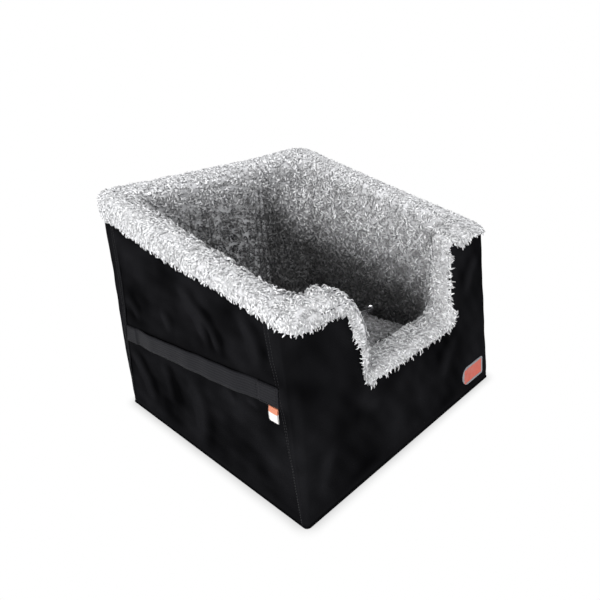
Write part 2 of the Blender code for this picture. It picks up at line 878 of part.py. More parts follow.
def build_return(parent):
    """The webbing's end: round the eye's bar and back on top, in the leash's own frame."""
    level = STRAP_DROP + LAYER_STEP
    spots = [Vector((-RETURN_LENGTH, 0, level)), Vector((-RETURN_RAMP, 0, level))]
    first = math.pi / 2 + math.atan2(WRAP_RADIUS - level, RETURN_RAMP)
    for k in range(2 * ARC_STEPS + 1):
        angle = first - (first + math.pi / 2) * k / (2 * ARC_STEPS)
        spots.append(Vector((math.cos(angle), 0, math.sin(angle))) * WRAP_RADIUS)
    spots[-1].x += GAP / 2
    normals = []
    for k in range(len(spots)):
        along = spots[min(k + 1, len(spots) - 1)] - spots[max(k - 1, 0)]
        normals.append(along.cross(Vector((0, 1, 0))))
    mesh = band("leash_return", spots, [(0, 1, 0)] * len(spots), normals, WEBBING_WIDTH, WEBBING)
    mesh.transform(LEASH_FRAME)
    place("leash_return", mesh, STRAP, parent)


def build_anchor(parent):
    bpy.ops.mesh.primitive_cube_add(size=1)
    tab = bpy.context.object
    tab.name = "anchor_tab"
    half = ANCHOR / 2 + GAP
    low = FLOOR_TOP + ANCHOR_ABOVE_FLOOR
    tab.data.transform(Matrix.Diagonal((ANCHOR, ANCHOR_WIDTH, ANCHOR_HEIGHT, 1)))
    tab.location = (-CABIN_HALF + half, ANCHOR_Y, low + ANCHOR_HEIGHT / 2)
    for group in list(tab.users_collection):
        group.objects.unlink(tab)
    PARTS.objects.link(tab)
    tab.data.materials.append(STRAP)
    tab.parent = parent
    edge = tab.modifiers.new("edge", "BEVEL")
    edge.width = ANCHOR_EDGE
    edge.segments = 1


def cutter(name, mesh, matrix):
    item = bpy.data.objects.new(name, mesh)
    CUTTERS.objects.link(item)
    item.matrix_world = matrix
    item.hide_render = True
    item.display_type = "WIRE"
    return item


def combine(target, other, operation):
    change = target.modifiers.new(other.name, "BOOLEAN")
    change.operation = operation
    change.solver = "EXACT"
    change.object = other


def cylinder_mesh(name, radius, start, end, along="X", sides=ROUND_SIDES):
    """A closed cylinder between two values on one axis, through the frame's origin."""
    form = bmesh.new()
    bmesh.ops.create_cone(
        form, cap_ends=True, segments=sides, radius1=radius, radius2=radius, depth=end - start)
    turn = Matrix.Rotation(math.pi / 2, 4, "Y") if along == "X" else Matrix.Rotation(-math.pi / 2, 4, "X")
    axis = Vector((1, 0, 0)) if along == "X" else Vector((0, 1, 0))
    bmesh.ops.transform(form, verts=form.verts, matrix=Matrix.Translation(axis * (start + end) / 2) @ turn)
    mesh = bpy.data.meshes.new(name)
    form.to_mesh(mesh)
    form.free()
    return mesh


def moved(mesh, x=0.0, y=0.0, z=0.0):
    mesh.transform(Matrix.Translation((x, y, z)))
    return mesh


def build_slider(parent):
    """Three-bar slider: end bars over the strap, middle bar under it."""
    rest = Matrix.Translation((-SLIDER_REST, 0, STRAP_DROP))
    frame = make_empty("slider_place", LEASH_FRAME @ rest, parent)
    rail = WEBBING_WIDTH / 2 + SLIDER_SIDE_PLAY + SLIDER_WIRE
    lift = WEBBING / 2 + GAP + SLIDER_WIRE
    inner = rail - SLIDER_BEND
    loop = []
    for x, turn in ((0.0, 1), (SLIDER_LENGTH, -1)):
        bar = [(x, -turn * rail, 0), (x, -turn * inner, lift), (x, turn * inner, lift), (x, turn * rail, 0)]
        loop += bar
    ring = wire_mesh("leash_slider", loop, SLIDER_WIRE, True, 2)
    slider = place("leash_slider", ring, CHROME, frame, math.radians(50))
    middle = SLIDER_LENGTH / 2
    line = [(middle, -rail, 0), (middle, -inner, -lift), (middle, inner, -lift), (middle, rail, 0)]
    bar = wire_mesh("slider_bar", line, SLIDER_WIRE, False, 2)
    combine(slider, cutter("slider_bar", bar, frame.matrix_world), "UNION")


def build_eye(parent):
    """Rectangular eye with the swivel post on its front bar."""
    side = WEBBING_WIDTH / 2 + EYE_SIDE_PLAY + EYE_WIRE
    ring = Ring(EYE_LENGTH / 2, -side, side, EYE_ROUND)
    points = []
    for corner in range(4):
        for k in range(ARC_STEPS + 1):
            flat = ring.on_arc(corner, arc_start(corner) + math.pi / 2 * k / ARC_STEPS)
            points.append((flat.x + EYE_LENGTH / 2, flat.y, 0))
    eye = place("snap_eye", wire_mesh("snap_eye", points, EYE_WIRE, True), CHROME, parent, math.radians(50))
    head_end = SOCKET_FRONT - RUNNING
    post = cylinder_mesh("post", POST_RADIUS, EYE_LENGTH, head_end - POST_HEAD / 2)
    head = cylinder_mesh("post_head", POST_HEAD_RADIUS, head_end - POST_HEAD, head_end)
    combine(eye, cutter("post", post, LEASH_FRAME), "UNION")
    combine(eye, cutter("post_head", head, LEASH_FRAME), "UNION")


SNAP_REAR = EYE_LENGTH + EYE_WIRE + SNAP_REAR_PLAY
SNAP_FRONT = SNAP_REAR + SNAP_LENGTH
SOCKET_REAR = SNAP_REAR + SOCKET_WALL
SOCKET_FRONT = SOCKET_REAR + POST_HEAD + 2 * RUNNING
HOOK_CENTRE = SNAP_FRONT + HOOK_ARM
HOOK_TIP = HOOK_CENTRE - HOOK_LIP
BORE_RADIUS = BOLT_RADIUS + RUNNING
BORE_REAR = SNAP_REAR + BORE_REAR_WALL
SPRING_START = BORE_REAR + RUNNING
BOLT_REAR = SPRING_START + SPRING_LENGTH + RUNNING
BOLT_FRONT = HOOK_TIP - GAP
STUD_X = BOLT_REAR + STUD_FROM_REAR


def snap_outline():
    """Half outline of the snap's body, from its rear collar to its front face."""
    collar_end = SNAP_REAR + SNAP_COLLAR_LENGTH
    return [
        (SNAP_REAR, SNAP_COLLAR),
        (collar_end, SNAP_COLLAR),
        (collar_end + SNAP_SHOULDER, SNAP_HALF_WIDTH),
        (SNAP_FRONT, SNAP_HALF_WIDTH),
    ]


def build_snap_body(parent):
    curve = bpy.data.curves.new("snap_body", "CURVE")
    curve.dimensions = "2D"
    curve.fill_mode = "BOTH"
    curve.extrude = SNAP_THICKNESS / 2
    half = snap_outline()
    loop = [(x, -y, 0, 1) for x, y in half] + [(x, y, 0, 1) for x, y in reversed(half)]
    body = place("snap_body", curve_mesh(curve, [loop], True), CHROME, parent, math.radians(40))
    edge = body.modifiers.new("edge", "BEVEL")
    edge.width = SNAP_EDGE
    edge.segments = 3
    edge.limit_method = "ANGLE"
    line = [(SNAP_FRONT - HOOK_ROOT, -HOOK_RADIUS, 0)]
    for k in range(4 * ARC_STEPS + 1):
        angle = -math.pi / 2 + math.pi * k / (4 * ARC_STEPS)
        line.append((HOOK_CENTRE + HOOK_RADIUS * math.cos(angle), HOOK_RADIUS * math.sin(angle), 0))
    line.append((HOOK_TIP, HOOK_RADIUS, 0))
    hook = wire_mesh("snap_hook", line, HOOK_WIRE, False, 3)
    combine(body, cutter("snap_hook", hook, LEASH_FRAME), "UNION")
    post_hole = cylinder_mesh("post_hole", POST_RADIUS + RUNNING, SNAP_REAR - OVERRUN, SOCKET_REAR + POST_HEAD)
    head_hole = cylinder_mesh("head_hole", POST_HEAD_RADIUS + RUNNING, SOCKET_REAR, SOCKET_FRONT)
    bore = moved(cylinder_mesh("bolt_bore", BORE_RADIUS, BORE_REAR, SNAP_FRONT + OVERRUN), y=HOOK_RADIUS)
    for name, mesh in (("post_hole", post_hole), ("head_hole", head_hole), ("bolt_bore", bore)):
        combine(body, cutter(name, mesh, LEASH_FRAME), "DIFFERENCE")
    combine(body, cutter("stud_slot", slot_mesh(), LEASH_FRAME), "DIFFERENCE")


def slot_mesh():
    """Cutter for the slot that the stud travels in."""
    half = STUD_RADIUS + RUNNING
    low = STUD_X - BOLT_TRAVEL - half
    high = STUD_X + half
    top = SNAP_HALF_WIDTH + OVERRUN
    sections = []
    for y in (HOOK_RADIUS, top):
        sections.append([(low, y, -half), (high, y, -half), (high, y, half), (low, y, half)])
    return loft("stud_slot", sections)


def build_bolt(parent):
    rod = moved(cylinder_mesh("snap_bolt", BOLT_RADIUS, BOLT_REAR, BOLT_FRONT), y=HOOK_RADIUS)
    bolt = place("snap_bolt", rod, CHROME, parent, math.radians(40))
    top = HOOK_RADIUS + STUD_REACH
    stem = moved(cylinder_mesh("stud", STUD_RADIUS, HOOK_RADIUS, top - STUD_HEAD / 2, "Y"), x=STUD_X)
    head = moved(cylinder_mesh("stud_head", STUD_HEAD_RADIUS, top - STUD_HEAD, top, "Y"), x=STUD_X)
    combine(bolt, cutter("stud", stem, LEASH_FRAME), "UNION")
    combine(bolt, cutter("stud_head", head, LEASH_FRAME), "UNION")


def build_spring(parent):
    """Coil behind the bolt, one unbroken wire with straight ends."""
    first = SPRING_START + SPRING_WIRE
    last = SPRING_START + SPRING_LENGTH - SPRING_WIRE
    count = SPRING_TURNS * COIL_STEPS
    line = []
    for k in range(count + 1):
        angle = 2 * math.pi * k / COIL_STEPS
        x = first + (last - first) * k / count
        line.append((x, HOOK_RADIUS + SPRING_RADIUS * math.cos(angle), SPRING_RADIUS * math.sin(angle)))
    pitch = (last - first) / SPRING_TURNS
    print("snap_spring least gap between turns, mm:", round((pitch - 2 * SPRING_WIRE) * 1000, 2))
    mesh = wire_mesh("snap_spring", line, SPRING_WIRE, False, 1)
    place("snap_spring", mesh, SPRING_STEEL, parent, math.radians(50))


def main():
    tub = make_empty("tub", Matrix.Identity(4))
    cushion = make_empty("cushion_lift", Matrix.Translation((0, 0, CUSHION_FOOT)), tub)
    cushion_frame = make_empty("cushion_frame", Matrix.Identity(4), cushion)
    swivel = make_empty("snap_swivel", LEASH_FRAME, cushion)
    build_walls(tub)
    build_floor(tub)
    build_belt_strap("left_belt_strap", -1, tub)
    build_belt_strap("right_belt_strap", 1, tub)
    build_patch(tub)
    build_tag(tub)
    build_anchor(tub)
    build_cushion(cushion_frame)
    build_leash(cushion_frame)
    build_slider(cushion_frame)
    build_eye(swivel)
    build_snap_body(swivel)
    build_bolt(swivel)
    build_spring(swivel)


main()
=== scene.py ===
"""Dog car seat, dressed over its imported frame: curly fleece, black cloth, webbing, chrome and a stage.

Metres, +Z up, -Y to the front. Sizes that place a piece are the tub's own.
"""

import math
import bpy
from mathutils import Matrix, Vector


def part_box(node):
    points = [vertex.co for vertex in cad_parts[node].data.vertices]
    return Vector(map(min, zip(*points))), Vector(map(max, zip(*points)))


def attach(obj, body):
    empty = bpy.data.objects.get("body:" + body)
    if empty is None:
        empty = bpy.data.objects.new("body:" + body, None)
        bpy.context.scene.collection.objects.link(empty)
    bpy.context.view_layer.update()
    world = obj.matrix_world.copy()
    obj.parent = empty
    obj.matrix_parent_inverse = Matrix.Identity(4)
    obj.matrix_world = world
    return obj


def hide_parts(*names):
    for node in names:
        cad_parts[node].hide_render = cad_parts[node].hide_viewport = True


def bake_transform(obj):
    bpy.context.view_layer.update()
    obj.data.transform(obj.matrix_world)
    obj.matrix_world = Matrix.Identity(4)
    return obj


bl_info = {
    "name": "Dog Car Seat",
    "version": (1, 0, 0),
    "blender": (4, 5, 0),
    "location": "View3D > Sidebar > Dog Seat",
    "description": "Fleece, cloth, webbing and metal for a padded dog car seat",
    "category": "Object",
}

import bmesh
import bpy
import numpy as np
from bpy.props import FloatProperty, FloatVectorProperty, IntProperty, PointerProperty
from mathutils import Matrix, Vector
from mathutils.bvhtree import BVHTree
from mathutils.kdtree import KDTree

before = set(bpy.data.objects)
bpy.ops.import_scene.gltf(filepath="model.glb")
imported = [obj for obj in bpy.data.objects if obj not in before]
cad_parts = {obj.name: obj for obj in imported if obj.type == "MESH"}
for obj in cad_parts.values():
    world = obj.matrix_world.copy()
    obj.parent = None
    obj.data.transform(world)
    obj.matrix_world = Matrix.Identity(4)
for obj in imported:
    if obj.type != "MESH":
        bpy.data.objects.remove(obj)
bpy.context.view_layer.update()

# Sizes of the tub
GAP = 0.0003
TUB_WIDTH = 0.508
FRONT_Y = -0.2444
REAR_Y = 0.2396
LEAN_HEIGHT = 0.313
SIDE_LEAN = 0.012
FRONT_LEAN = 0.019
FOOT_CORNER = 0.006
TOP_CORNER = 0.018
LEAST_CORNER = 0.002
CABIN_HALF = 0.190
CABIN_FRONT = -0.1744
CABIN_REAR = 0.1876
CABIN_CORNER = 0.022
FRONT_RIM = 0.320
REAR_RIM = 0.416
RIM_ROLL = 0.018
SHORT_OVERLAP = 0.019
LONG_OVERLAP = 0.041
RIGHT_OVERLAP = 0.009
FLARE = 0.008
PILE = 0.006
OUTER_PILE = 0.004
NOTCH_WIDTH = 0.252
NOTCH_SPLAY = 0.004
LEDGE_HEIGHT = 0.175
NOTCH_FLOOR_ROUND = 0.018
POST_ROUND = 0.024
LINER_OUTSIDE = 0.006
LINER_FOOT = 0.0704
PANEL_DEPTH = 0.0120
NOTCH_CLOTH = 0.003

# Belt straps, leash and its snap
WEBBING_WIDTH = 0.025
WEBBING = 0.0018
BELT_WIDTH = 0.033
BELT_FRONT_HEIGHT = 0.197
BELT_REAR_HEIGHT = 0.160
BELT_SLACK = 0.0034
BELT_SEWN = 0.040
BELT_RISE = 0.060
BELT_TUCK = 0.006
BELT_GAP = 0.0012
BELT_STEPS = 190
BELT_BOX = (2, 22)
RETURN_BOX = (0, 7)
ANCHOR_WEBBING = 0.0016
LEASH_FRAME = Matrix.Translation((0.100, -0.0164, 0.126)) @ Matrix.Rotation(math.radians(-12), 4, "Z")
STRAP_DROP = -0.0032
LAYER_STEP = 0.0021
RETURN_LENGTH = 0.060
RETURN_RAMP = 0.013
STRAIGHT_LENGTH = 0.1263

# Rounds in which a height and the wall's lean at that height come to agree
SETTLE_ROUNDS = 4

# Counts of rows and columns in the grids of the fleece and the cloth
ARCH_STEPS = 6
NOTCH_STEPS = 22
FILLET_STEPS = 8
BAND_ROWS = 19
FACE_COLUMNS = 73
FACE_ROWS = 18
WALL_STEPS = 84
WALL_ROWS = 72
POST_STEPS = 16
POST_ROWS = 60
SIDE_ROWS = 118
FRONT_ROWS = 96
POST_COLUMNS = 22
REAR_ROWS = 124
REAR_COLUMNS = 130
FLOOR_STEPS = 70

FRONT, RIGHT, REAR, LEFT = range(4)
WALL_NAMES = ("front", "right", "rear", "left")


class TubLooks(bpy.types.PropertyGroup):
    cloth_colour: FloatVectorProperty(
        name="Cloth", description="Colour of the woven cover panels", subtype="COLOR",
        default=(0.0050, 0.0050, 0.0056), min=0.0, max=1.0)
    wrinkle_depth: FloatProperty(
        name="Wrinkle depth", description="How deep the cover's creases are",
        default=0.0036, min=0.0, max=0.006, unit="LENGTH")
    stitch_length: FloatProperty(
        name="Stitch length", description="Length of one topstitch", default=0.0032, min=0.002, max=0.006,
        unit="LENGTH")
    stitch_gap: FloatProperty(
        name="Stitch gap", description="Space between two topstitches", default=0.0011, min=0.0005, max=0.003,
        unit="LENGTH")


class FleeceLooks(bpy.types.PropertyGroup):
    tip_colour: FloatVectorProperty(
        name="Tips", description="Colour of the curls' tips", subtype="COLOR",
        default=(0.90, 0.90, 0.912), min=0.0, max=1.0)
    root_colour: FloatVectorProperty(
        name="Roots", description="Colour of the pile's roots", subtype="COLOR",
        default=(0.40, 0.40, 0.415), min=0.0, max=1.0)
    curl_spacing: FloatProperty(
        name="Curl spacing", description="Distance between neighbouring curls", default=0.0044, min=0.003,
        max=0.012, unit="LENGTH")
    curl_length: FloatProperty(
        name="Curl length", description="Length of one curl", default=0.0135, min=0.006, max=0.02,
        unit="LENGTH")
    seed: IntProperty(name="Seed", description="Start of the curls' random order", default=7, min=0)


class LeashLooks(bpy.types.PropertyGroup):
    webbing_colour: FloatVectorProperty(
        name="Webbing", description="Colour of the straps", subtype="COLOR",
        default=(0.0042, 0.0042, 0.0052), min=0.0, max=1.0)
    chrome_colour: FloatVectorProperty(
        name="Chrome", description="Colour of the snap and the slider", subtype="COLOR",
        default=(0.78, 0.78, 0.80), min=0.0, max=1.0)


class StageLooks(bpy.types.PropertyGroup):
    floor_colour: FloatVectorProperty(
        name="Floor", description="Colour of the floor and the backdrop", subtype="COLOR",
        default=(0.92, 0.92, 0.92), min=0.0, max=1.0)


def looks():
    return bpy.context.scene.seat_tub


def fleece_looks():
    return bpy.context.scene.seat_fleece


# Outline of the tub


class Ring:
    """A rounded rectangle seen from above."""

    def __init__(self, half, front, rear, radius):
        self.half = half
        self.front = front
        self.rear = rear
        self.radius = radius

    def centre(self, corner):
        x = (self.half - self.radius) * (1 if corner in (1, 2) else -1)
        y = self.rear - self.radius if corner in (2, 3) else self.front + self.radius
        return Vector((x, y))

    def on_arc(self, corner, angle):
        turn = Vector((math.cos(angle), math.sin(angle)))
        return self.centre(corner) + turn * float(self.radius)


def outer_ring(z, inset):
    rise = float(z) / LEAN_HEIGHT
    half = TUB_WIDTH / 2 - SIDE_LEAN * rise - inset
    front = FRONT_Y + FRONT_LEAN * rise + inset
    radius = FOOT_CORNER + (TOP_CORNER - FOOT_CORNER) * rise - inset
    return Ring(half, front, REAR_Y - inset, max(radius, LEAST_CORNER))


def inner_ring(outset):
    return Ring(CABIN_HALF + outset, CABIN_FRONT - outset, CABIN_REAR + outset, CABIN_CORNER + outset)


def arc_start(corner):
    return math.pi + corner * math.pi / 2


def mitre_line(corner):
    middle = arc_start(corner) + math.pi / 4
    start = inner_ring(0).on_arc(corner, middle)
    end = outer_ring(0, 0).on_arc(corner, middle)
    return start, (end - start).normalized()


MITRES = [mitre_line(corner) for corner in range(4)]


def mitre_angle(ring, corner):
    start, along = MITRES[corner]
    offset = start - ring.centre(corner)
    half_b = offset.dot(along)
    inside = half_b * half_b - offset.length_squared + ring.radius ** 2
    crossing = start + along * (-half_b + math.sqrt(max(inside, 0.0))) - ring.centre(corner)
    angle = math.atan2(crossing.y, crossing.x)
    while angle < arc_start(corner):
        angle += 2 * math.pi
    return angle


class Station:
    """A place along a wall: on a corner's arc, from the seam at 0 to 1 or -1, or a share of a straight."""

    def __init__(self, corner=None, share=0.0, along=None):
        self.corner = corner
        self.share = share
        self.along = along

    def on(self, ring, wall):
        if self.along is not None:
            first = ring.on_arc(wall, arc_start(wall) + math.pi / 2)
            last = ring.on_arc((wall + 1) % 4, arc_start(wall + 1))
            return first.lerp(last, self.along)
        seam = mitre_angle(ring, self.corner)
        start = arc_start(self.corner)
        if self.share < 0:
            angle = seam + (seam - start) * self.share
        else:
            angle = seam + (start + math.pi / 2 - seam) * self.share
        return ring.on_arc(self.corner, angle)


FRONT_MIDDLE = (CABIN_FRONT + outer_ring(FRONT_RIM, 0).front) / 2
REAR_MIDDLE = (CABIN_REAR + REAR_Y) / 2


def along_rim(y):
    return (y - FRONT_MIDDLE) / (REAR_MIDDLE - FRONT_MIDDLE)


def rim_height(y):
    return FRONT_RIM + (REAR_RIM - FRONT_RIM) * along_rim(y)


def smooth_share(values):
    share = np.clip(values, 0.0, 1.0)
    return share * share * (3 - 2 * share)


def overlap_depth(x, y):
    """How far the fleece hangs over the cloth, less at the front than at the rear, least on the right."""
    short = SHORT_OVERLAP + (RIGHT_OVERLAP - SHORT_OVERLAP) * float(smooth_share((x + 0.1) / 0.2))
    return short + (LONG_OVERLAP - short) * float(smooth_share(along_rim(y) / 0.8))


def flared(grid):
    """The rear's top corners stand a little wider than the box that the boards make."""
    rear = np.clip(along_rim(grid[..., 1]), 0, 1)
    up = np.clip(grid[..., 2] / REAR_RIM, 0, 1)
    result = grid.copy()
    result[..., 0] *= 1 + FLARE / (TUB_WIDTH / 2) * rear * up
    return result


def settle(depth, place_at):
    z = FRONT_RIM
    for _ in range(SETTLE_ROUNDS):
        flat = place_at(z)
        z = rim_height(flat.y) - depth
    flat = place_at(z)
    return (flat.x, flat.y, z)


def arch(station, wall, overlap=overlap_depth):
    """The fleece skin over one place of a wall: inner foot, rolled top, overlap's edge outside."""
    inner = station.on(inner_ring(0), wall)

    def outer_at(z):
        return station.on(outer_ring(z, -GAP - LINER_OUTSIDE), wall)

    def rolled(angle, from_inside):
        side = RIM_ROLL * (1 - math.cos(angle))

        def place_at(z):
            outer = outer_at(z)
            share = side / (outer - inner).length
            return inner.lerp(outer, share if from_inside else 1 - share)

        return settle(RIM_ROLL * (1 - math.sin(angle)), place_at)

    top = outer_at(FRONT_RIM)
    reach = overlap(top.x, top.y) if callable(overlap) else overlap
    last = math.asin(max(0.0, 1 - reach / RIM_ROLL))
    points = [(inner.x, inner.y, LINER_FOOT)]
    steps = range(ARCH_STEPS + 1)
    points += [rolled(math.pi / 2 * k / ARCH_STEPS, True) for k in steps]
    points += [rolled(math.pi / 2 + (last - math.pi / 2) * k / ARCH_STEPS, False) for k in steps]
    if reach > RIM_ROLL:
        points.append(settle(reach, outer_at))
    return points


def distances(line):
    """How far each point of a line lies from its start, along it."""
    return np.concatenate([[0.0], np.cumsum(np.linalg.norm(np.diff(line, axis=0), axis=1))])


def read_at(wanted, steps, values):
    """Points or directions known at steps along a line, read at other distances."""
    return np.stack([np.interp(wanted, steps, values[:, k]) for k in range(3)], axis=1)


def resampled(points, count):
    """Points at equal steps along a line of points."""
    line = np.array(points, float)
    steps = distances(line)
    return read_at(np.linspace(0, steps[-1], count), steps, line)


def fillet(corner, before, after, radius, steps):
    half = before.angle(after) / 2
    centre = corner + (before + after).normalized() * (radius / math.sin(half))
    start = corner + before * (radius / math.tan(half)) - centre
    end = corner + after * (radius / math.tan(half)) - centre
    first = math.atan2(start.y, start.x)
    turn = math.atan2(start.x * end.y - start.y * end.x, start.dot(end))
    angles = [first + turn * k / steps for k in range(steps + 1)]
    return [centre + radius * Vector((math.cos(a), math.sin(a))) for a in angles]


# The notch: where its own grids end, how far its left edge stands out, and the rows of its roll
NOTCH_END = 0.162
POST_LAP = 0.008
FLEECE_BULGE = 0.030
CLOTH_BULGE = 0.018
LIP_AHEAD = 0.009
LIP_RETURN = 0.013
INNER_ROLL_ROWS = 9
OUTER_ROLL_ROWS = 13
ROWS_UNDER_ROLL = (0.020, 0.022, 0.024, 0.026)


def notch_curve(depth):
    """The notch's edge moved into the wall by a depth, right half, as (x, z) points of one count."""
    slope = Vector((NOTCH_SPLAY, FRONT_RIM - LEDGE_HEIGHT)).normalized()
    base = Vector((NOTCH_WIDTH / 2, LEDGE_HEIGHT)) + Vector((slope.y, -slope.x)) * depth
    floor, top = LEDGE_HEIGHT - depth, FRONT_RIM - depth
    low = base + slope * ((floor - base.y) / slope.y)
    high = base + slope * ((top - base.y) / slope.y)
    level = Vector((1, 0))
    down = fillet(low, -level, slope, NOTCH_FLOOR_ROUND + depth, FILLET_STEPS)
    over = fillet(high, -slope, level, max(POST_ROUND - depth, LEAST_CORNER), FILLET_STEPS)
    shares = [k / NOTCH_STEPS for k in range(NOTCH_STEPS)]
    points = [Vector((0, floor)).lerp(down[0], share) for share in shares] + down[:-1]
    points += [down[-1].lerp(over[0], share) for share in shares] + over[:-1]
    points += [over[-1].lerp(Vector((NOTCH_END, top)), k / 3) for k in range(4)]
    return points


def notch_height(x, depth):
    curve = notch_curve(depth)
    return np.interp(np.abs(x), [p.x for p in curve], [p.y for p in curve])


def front_rise(edge_z, y):
    up = min(max((edge_z - LEDGE_HEIGHT) / (FRONT_RIM - LEDGE_HEIGHT), 0.0), 1.0)
    return (REAR_RIM - FRONT_RIM) * along_rim(y) * up


def roll_rows(count, inside):
    """Depth under the rim and distance from the wall's face for rows round half of the roll."""
    angles = [math.pi / 2 * k / (count - 1) for k in range(count)]
    return [(RIM_ROLL * (1 - math.sin(a)), RIM_ROLL * (1 - math.cos(a)), inside) for a in angles]


def notch_band():
    """Grid of the fleece that rolls over the notch's edge, from the cabin side to the outside."""
    rows = roll_rows(INNER_ROLL_ROWS, True) + roll_rows(OUTER_ROLL_ROWS, False)[::-1]
    rows += [(depth, 0.0, False) for depth in ROWS_UNDER_ROLL]
    grid = []
    for depth, side, inside in rows:
        line = []
        for p in notch_curve(depth):
            outer = outer_ring(p.y, -GAP - LINER_OUTSIDE).front
            y = CABIN_FRONT - side if inside else outer + side
            line.append((p.x, y, p.y + front_rise(p.y + depth, y)))
        grid.append([(-x, y, z) for x, y, z in line[:0:-1]] + line)
    across = np.array(grid)
    curve = notch_curve(0.0)
    reaches = [band_overlap(p, -1) for p in curve[:0:-1]] + [band_overlap(p, 1) for p in curve]
    depths = np.array([depth for depth, _, _ in rows])
    columns = []
    for k, reach in enumerate(reaches):
        kept = INNER_ROLL_ROWS + int(np.sum(depths[INNER_ROLL_ROWS:] <= reach))
        column = across[:kept, k].copy()
        depth = depths[:kept]
        lip = smooth_share((depth + 0.001) / 0.007) * smooth_share((depth[-1] - depth) / LIP_RETURN)
        lip[:INNER_ROLL_ROWS] = 0
        lip *= bulge_share(column) * smooth_share((column[:, 0] + 0.160) / 0.02)
        column[:, 1] -= LIP_AHEAD * lip
        columns.append(resampled(column, BAND_ROWS))
    return bulged(np.array(columns), FLEECE_BULGE)


def bulge_share(grid):
    """1 along the notch's left edge outside, falling off above, below and to both sides."""
    x, y, z = grid[..., 0], grid[..., 1], grid[..., 2]
    up = smooth_share((z - 0.150) / 0.045) * (1 - 0.7 * smooth_share((z - 0.25) / 0.07))
    near = smooth_share((x + 0.188) / 0.045) * smooth_share((-0.078 - x) / 0.034)
    return up * near * smooth_share((-0.185 - y) / 0.03)


def bulged(grid, across):
    """The notch's left edge stands further into the notch than its right one."""
    result = grid.copy()
    result[..., 0] += across * bulge_share(grid)
    return result


def band_overlap(p, side):
    """How far the notch's fleece hangs over the cloth at a place of the notch's edge."""
    if side > 0:
        floor = 0.016 * float(smooth_share((0.205 - p.y) / 0.03))
        return max(0.003, floor, 0.014 * float(smooth_share((p.x - 0.126) / 0.030)))
    if p.y > LEDGE_HEIGHT + 0.001:
        heights = (LEDGE_HEIGHT, 0.180, 0.187, 0.198, 0.226, 0.250)
        return float(np.interp(p.y, heights, (0.012, 0.007, 0.010, 0.018, 0.020, 0.026)))
    return float(np.interp(p.x, (0.072, 0.086, 0.095, 0.102, 0.110), (0.016, 0.013, 0.024, 0.020, 0.012)))


def cabin_front_face():
    """Grid of the fleece on the cabin side of the front wall, under the notch's roll."""
    xs = np.linspace(-NOTCH_END, NOTCH_END, FACE_COLUMNS)
    columns = []
    for x, top in zip(xs, notch_height(xs, RIM_ROLL)):
        z = np.linspace(LINER_FOOT, top + front_rise(top + RIM_ROLL, CABIN_FRONT), FACE_ROWS)
        columns.append(np.stack([0 * z + x, 0 * z + CABIN_FRONT, z], axis=1))
    return np.array(columns)


def wall_grid(wall):
    """Grid of the fleece over one whole wall, from corner seam to corner seam."""
    return flared(np.array([resampled(arch(station, wall), WALL_ROWS) for station in wall_stations(wall)]))


def wall_stations(wall):
    first, last = wall, (wall + 1) % 4
    shares = [k / 4 for k in range(5)]
    start = [Station(first, share) for share in shares]
    middle = [Station(along=k / WALL_STEPS) for k in range(1, WALL_STEPS)]
    return start + middle + [Station(last, -share) for share in reversed(shares)]


class PostStation:
    """A place on a front post: a share of the way from the notch's end to the corner's seam."""

    def __init__(self, side, share):
        self.side = side
        self.share = share

    def on(self, ring, wall):
        corner = 1 if self.side > 0 else 0
        front = 3 * math.pi / 2
        straight = ring.half - ring.radius - NOTCH_END
        turn = abs(mitre_angle(ring, corner) - front)
        run = self.share * (straight + ring.radius * turn + POST_LAP) - POST_LAP
        if run <= straight:
            return Vector((self.side * (NOTCH_END + run), ring.front))
        return ring.on_arc(corner, front + self.side * (run - straight) / ring.radius)


def post_grid(side):
    """Grid over the outer part of one front post, from the notch's end to the corner's seam."""
    hangs = (0.024, 0.024, SHORT_OVERLAP) if side < 0 else (0.014, 0.008, RIGHT_OVERLAP)
    rows = []
    for k in range(POST_STEPS + 1):
        share = k / POST_STEPS
        overlap = float(np.interp(share, (0, 0.5, 1), hangs))
        rows.append(resampled(arch(PostStation(side, share), FRONT, overlap), POST_ROWS))
    grid = bulged(flared(np.array(rows)), FLEECE_BULGE)
    return grid if side > 0 else grid[::-1]


# Meshes from arrays


def mesh_of(name, points, faces):
    """A mesh from an array of points and arrays of faces, each array with one count of corners."""
    mesh = bpy.data.meshes.new(name)
    mesh.vertices.add(len(points))
    mesh.vertices.foreach_set("co", np.asarray(points, np.float32).ravel())
    loops = np.concatenate([np.asarray(f, np.int32).ravel() for f in faces])
    totals = np.concatenate([np.full(len(f), np.asarray(f).shape[1], np.int32) for f in faces])
    starts = np.concatenate([[0], np.cumsum(totals)[:-1]]).astype(np.int32)
    mesh.loops.add(len(loops))
    mesh.loops.foreach_set("vertex_index", loops)
    mesh.polygons.add(len(totals))
    mesh.polygons.foreach_set("loop_start", starts)
    mesh.update(calc_edges=True)
    mesh.validate()
    return mesh


def point_values(mesh, name, values):
    layer = mesh.attributes.new(name, "FLOAT", "POINT")
    layer.data.foreach_set("value", np.asarray(values, np.float32).ravel())


def point_vectors(mesh, name, values):
    layer = mesh.attributes.new(name, "FLOAT_VECTOR", "POINT")
    layer.data.foreach_set("vector", np.asarray(values, np.float32).ravel())


def mesh_points(mesh):
    values = np.zeros(len(mesh.vertices) * 3)
    mesh.vertices.foreach_get("co", values)
    return values.reshape(-1, 3)


def put_points(mesh, points):
    mesh.vertices.foreach_set("co", points.ravel())
    mesh.update()


def new_piece(name, mesh, material, body, node=None):
    """A smooth piece on a body, or on none for a blended one, that may stand for a node of the frame."""
    mesh.shade_smooth()
    piece = bpy.data.objects.new(name, mesh)
    bpy.context.scene.collection.objects.link(piece)
    mesh.materials.clear()
    mesh.materials.append(material)
    if body:
        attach(piece, body)
    if node:
        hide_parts(node)
    return piece


